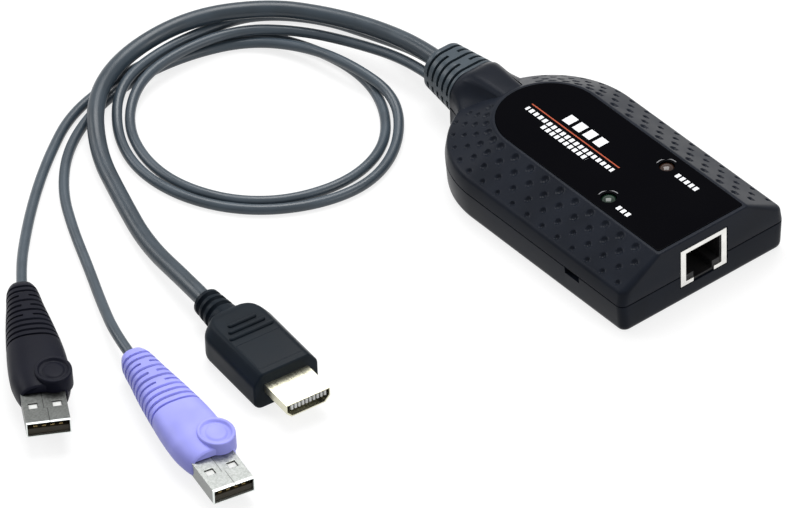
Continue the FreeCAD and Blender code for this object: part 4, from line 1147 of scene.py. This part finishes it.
def build_floor():
    """White floor that keeps the object's shadow."""
    finish = Finish("studio_floor")
    cloth = finish.node("ShaderNodeBsdfDiffuse", sockets={"Color": (*[FLOOR_GREY] * 3, 1.0)})
    glow = finish.node("ShaderNodeEmission", sockets={
        "Color": (1.0, 1.0, 1.0, 1.0), "Strength": seen_directly(finish) * FLOOR_GLOW})
    both = finish.node("ShaderNodeAddShader", sockets={0: cloth, 1: glow})
    finish.node("ShaderNodeOutputMaterial", sockets={"Surface": both})
    mesh = bpy.data.meshes.new("studio_floor")
    mesh.from_pydata([(x * FLOOR_HALF, y * FLOOR_HALF, FLOOR_LEVEL)
                      for x, y in ((-1, -1), (1, -1), (1, 1), (-1, 1))], [], [(0, 1, 2, 3)])
    mesh.materials.append(finish.owner)
    placed("studio_floor", mesh)


def build_world(ambient):
    """Even light from all round; white where it is seen."""
    sky = Finish("studio", "worlds")
    level = sky.node("ShaderNodeMapRange", sockets={
        "Value": seen_directly(sky), "To Min": ambient, "To Max": 1.0})
    light = sky.node("ShaderNodeBackground", sockets={"Strength": level})
    sky.node("ShaderNodeOutputWorld", sockets={"Surface": light})
    bpy.context.scene.world = sky.owner


def build_lamps(key):
    """Square softboxes that look at the middle of the scene."""
    for name, (place, side, times) in SOFTBOXES.items():
        lamp = bpy.data.lights.new(name, "AREA")
        lamp.size = side
        lamp.energy = key * times
        box = placed(name, lamp)
        box.location = place
        box.rotation_euler = (Vector(place) - LIT_MIDDLE).to_track_quat("Z", "Y").to_euler()


def build_camera(looks):
    """Camera on a long lens, above the network socket's right."""
    turn, rise, roll = looks.azimuth, looks.elevation, looks.roll
    right = Vector((math.cos(turn), math.sin(turn), 0.0))
    back = Vector((math.sin(turn) * math.cos(rise), -math.cos(turn) * math.cos(rise),
                   math.sin(rise)))
    up = back.cross(right)
    across = right * math.cos(roll) + up * math.sin(roll)
    over = up * math.cos(roll) - right * math.sin(roll)
    lens = bpy.data.cameras.new("camera")
    lens.lens = looks.lens
    lens.sensor_width = 36.0
    lens.clip_start = 0.01
    lens.clip_end = 20.0
    camera = placed("camera", lens)
    turned = Matrix((across, over, back)).transposed().to_4x4()
    turned.translation = LOOK_AT + back * looks.distance
    camera.matrix_world = turned
    bpy.context.scene.camera = camera


# ==== operators ====
GOLD = (0.92, 0.68, 0.30)


class ADAPTER_OT_studio(bpy.types.Operator):
    """Build the floor, the lights and the camera"""
    bl_idname = "adapter.studio"
    bl_label = "Studio"

    def execute(self, context):
        looks = context.scene.studio_looks
        build_floor()
        build_world(looks.ambient)
        build_lamps(looks.key)
        build_camera(looks)
        context.scene.view_settings.view_transform = "Standard"
        return {"FINISHED"}


class ADAPTER_OT_covers(bpy.types.Operator):
    """Build the two covers, the label panel and the cable boot"""
    bl_idname = "adapter.covers"
    bl_label = "Covers"

    def execute(self, context):
        looks = context.scene.housing_looks
        shell = moulded("grained_cover", looks.cover, 0.34, looks.grain, 0.08)
        finished(build_top_cover(shell), shell, "top_cover")
        finished(build_bottom_cover(), shell, "bottom_cover")
        dressed_copies(glossy_panel(looks.panel), {"label_panel": 0.15})
        dressed_copies(moulded("boot_rubber", looks.boot, 0.4, 0.1), {"cable_boot": 0.15})
        return {"FINISHED"}


class ADAPTER_OT_lights(bpy.types.Operator):
    """Build the light guides and their lamps"""
    bl_idname = "adapter.lights"
    bl_label = "Lights"

    def execute(self, context):
        clear = {"power": clear_guide("amber_guide", (0.035, 0.014, 0.008)),
                 "link": clear_guide("green_guide", (0.006, 0.026, 0.013))}
        for part, edge_mm in (("_light_guide", 0.0), ("_lamp", 0.1)):
            for name, tinted in clear.items():
                dressed_copies(tinted, {name + part: edge_mm})
        return {"FINISHED"}


class ADAPTER_OT_network_socket(bpy.types.Operator):
    """Build the shielded network socket"""
    bl_idname = "adapter.network_socket"
    bl_label = "Network socket"

    def execute(self, context):
        dressed_copies(plated("tin_shield", (0.86, 0.85, 0.82), 0.25),
                       {"network_jack_shield": 0.12})
        dressed_copies(moulded("socket_plastic", (0.012, 0.012, 0.013), 0.4),
                       {"network_jack_insert": 0.12})
        dressed_copies(plated("gold_contact", GOLD, 0.2), {"network_jack_contacts": 0.05})
        return {"FINISHED"}


DATA_PLUGS = {               # place, gloss of the rubber, and painted shade on the shell: the share of the nickel's colour kept
    "black": (BLACK_PLACE, 0.09, 0.48), "lavender": (LAVENDER_PLACE, 0.2, 1.0)}


class ADAPTER_OT_data_plugs(bpy.types.Operator):
    """Build the black and the lavender data plug"""
    bl_idname = "adapter.data_plugs"
    bl_label = "Data plugs"

    def execute(self, context):
        looks = context.scene.plug_looks
        gold = plated("plug_gold", GOLD, 0.2)
        for name, (place, gloss, shell_shading) in DATA_PLUGS.items():
            tint = getattr(looks, name)
            plug = name + "_plug_"
            mold = build_data_mold(plug + "mold_skin", place)
            smooth_by_angle(mold.data, 50.0)
            # the painted shade in the grooves is the rubber's colour at a fifth
            rubber = ribbed(name + "_moulding", tint, place, shaded(tint, 0.2), gloss)
            finished(mold, rubber, plug + "mold")
            # painted shade: the black plug's shell gets a darker copy of the same nickel
            nickel = shell_metal(name + "_nickel", shaded(looks.nickel, shell_shading), place,
                                 DATA_SHELL_END)
            dressed_copies(nickel, {plug + "shell": 0.12})
            tongue = joined(rounded_copy(plug + "tongue", 0.1), window_pads(place))
            finished(tongue, tongue_plastic(name + "_tongue_plastic", place, DATA_SHELL_END),
                     plug + "tongue")
            dressed_copies(gold, {plug + "contacts": 0.05})
        return {"FINISHED"}


class ADAPTER_OT_video_plug(bpy.types.Operator):
    """Build the video plug"""
    bl_idname = "adapter.video_plug"
    bl_label = "Video plug"

    def execute(self, context):
        rubber = video_rubber(context.scene.plug_looks.video)
        mold = build_video_mold(rubber)
        smooth_by_angle(mold.data, 40.0)
        finished(mold, rubber, "video_plug_mold")
        dressed_copies(plated("video_shell_plating", (0.74, 0.72, 0.56), 0.3),
                       {"video_plug_shell": 0.12})
        dressed_copies(moulded("video_tongue_plastic", (0.03, 0.03, 0.03), 0.4),
                       {"video_plug_tongue": 0.08})
        white = moulded("video_contacts_white", (0.85, 0.86, 0.84), 0.4)
        contacts = joined(rounded_copy("video_plug_contacts", 0.04), [tooth_row(white)])
        finished(contacts, white, "video_plug_contacts")
        return {"FINISHED"}


class ADAPTER_OT_inside(bpy.types.Operator):
    """Give the board, its components, the switch and the screws their finishes"""
    bl_idname = "adapter.inside"
    bl_label = "Inside"

    def execute(self, context):
        rows = {
            solder_mask(): "circuit_board",
            moulded("chip_epoxy", (0.02, 0.02, 0.022), 0.5):
                "video_chip console_processor memory_chip network_transformer small_parts",
            plated("component_tin", (0.75, 0.75, 0.75), 0.3):
                "capacitors crystal recovery_switch_body",
            moulded("header_nylon", (0.72, 0.69, 0.60), 0.45): "video_header data_headers",
            jacket("lead_jacket", (0.05, 0.05, 0.055)):
                "video_lead lavender_data_lead black_data_lead",
            plated("screw_zinc", (0.62, 0.62, 0.60), 0.3): "case_screws",
            moulded("slider_plastic", (0.02, 0.02, 0.022), 0.4): "recovery_switch_slider"}
        for material, nodes in rows.items():
            for node in nodes.split():
                for slot in frame["nodes"][node].material_slots:
                    slot.material = material
        return {"FINISHED"}


CABLES = {                   # node, route, kind of jacket and length in metres
    "video": ("video_cable", VIDEO_ROUTE, "video", 0.2236),
    "black": ("black_data_cable", BLACK_ROUTE, "data", 0.4329),
    "lavender": ("lavender_data_cable", LAVENDER_ROUTE, "data", 0.4891)}


class ADAPTER_OT_cables(bpy.types.Operator):
    """Build the video cable and the two data cables"""
    bl_idname = "adapter.cables"
    bl_label = "Cables"

    def execute(self, context):
        looks = context.scene.cable_looks
        jackets = {kind: jacket(kind + "_jacket", getattr(looks, kind))
                   for kind in ("video", "data")}
        for plug, (node, route, kind, reach) in CABLES.items():
            diameter = getattr(looks, kind + "_diameter")
            piece = finished(cable(node, route, diameter), jackets[kind], node)
        return {"FINISHED"}


class ADAPTER_PT_panel(bpy.types.Panel):
    """Every piece's button, and the sizes and colours behind them"""
    bl_idname = "ADAPTER_PT_panel"
    bl_label = "Console Adapter"
    bl_space_type = "VIEW_3D"
    bl_region_type = "UI"
    bl_category = "Console Adapter"

    def draw(self, context):
        for kind in OPERATORS:
            self.layout.operator(kind.bl_idname)
        for name, kind in GROUPS.items():
            column = self.layout.box().column()
            for key in kind.__annotations__:
                column.prop(getattr(context.scene, name), key)


OPERATORS = (ADAPTER_OT_studio, ADAPTER_OT_covers, ADAPTER_OT_lights, ADAPTER_OT_network_socket,
             ADAPTER_OT_data_plugs, ADAPTER_OT_video_plug, ADAPTER_OT_inside,
             ADAPTER_OT_cables)
GROUPS = {"housing_looks": HousingLooks, "cable_looks": CableLooks, "plug_looks": PlugLooks,
          "studio_looks": StudioLooks}


def register():
    for kind in (*GROUPS.values(), *OPERATORS, ADAPTER_PT_panel):
        bpy.utils.register_class(kind)
    for name, kind in GROUPS.items():
        setattr(bpy.types.Scene, name, PointerProperty(type=kind))


def unregister():
    for name in GROUPS:
        delattr(bpy.types.Scene, name)
    for kind in reversed((*GROUPS.values(), *OPERATORS, ADAPTER_PT_panel)):
        bpy.utils.unregister_class(kind)


def main():
    register()
    for kind in OPERATORS:
        area, name = kind.bl_idname.split(".")
        getattr(getattr(bpy.ops, area), name)()


if __name__ == "__main__":
    main()
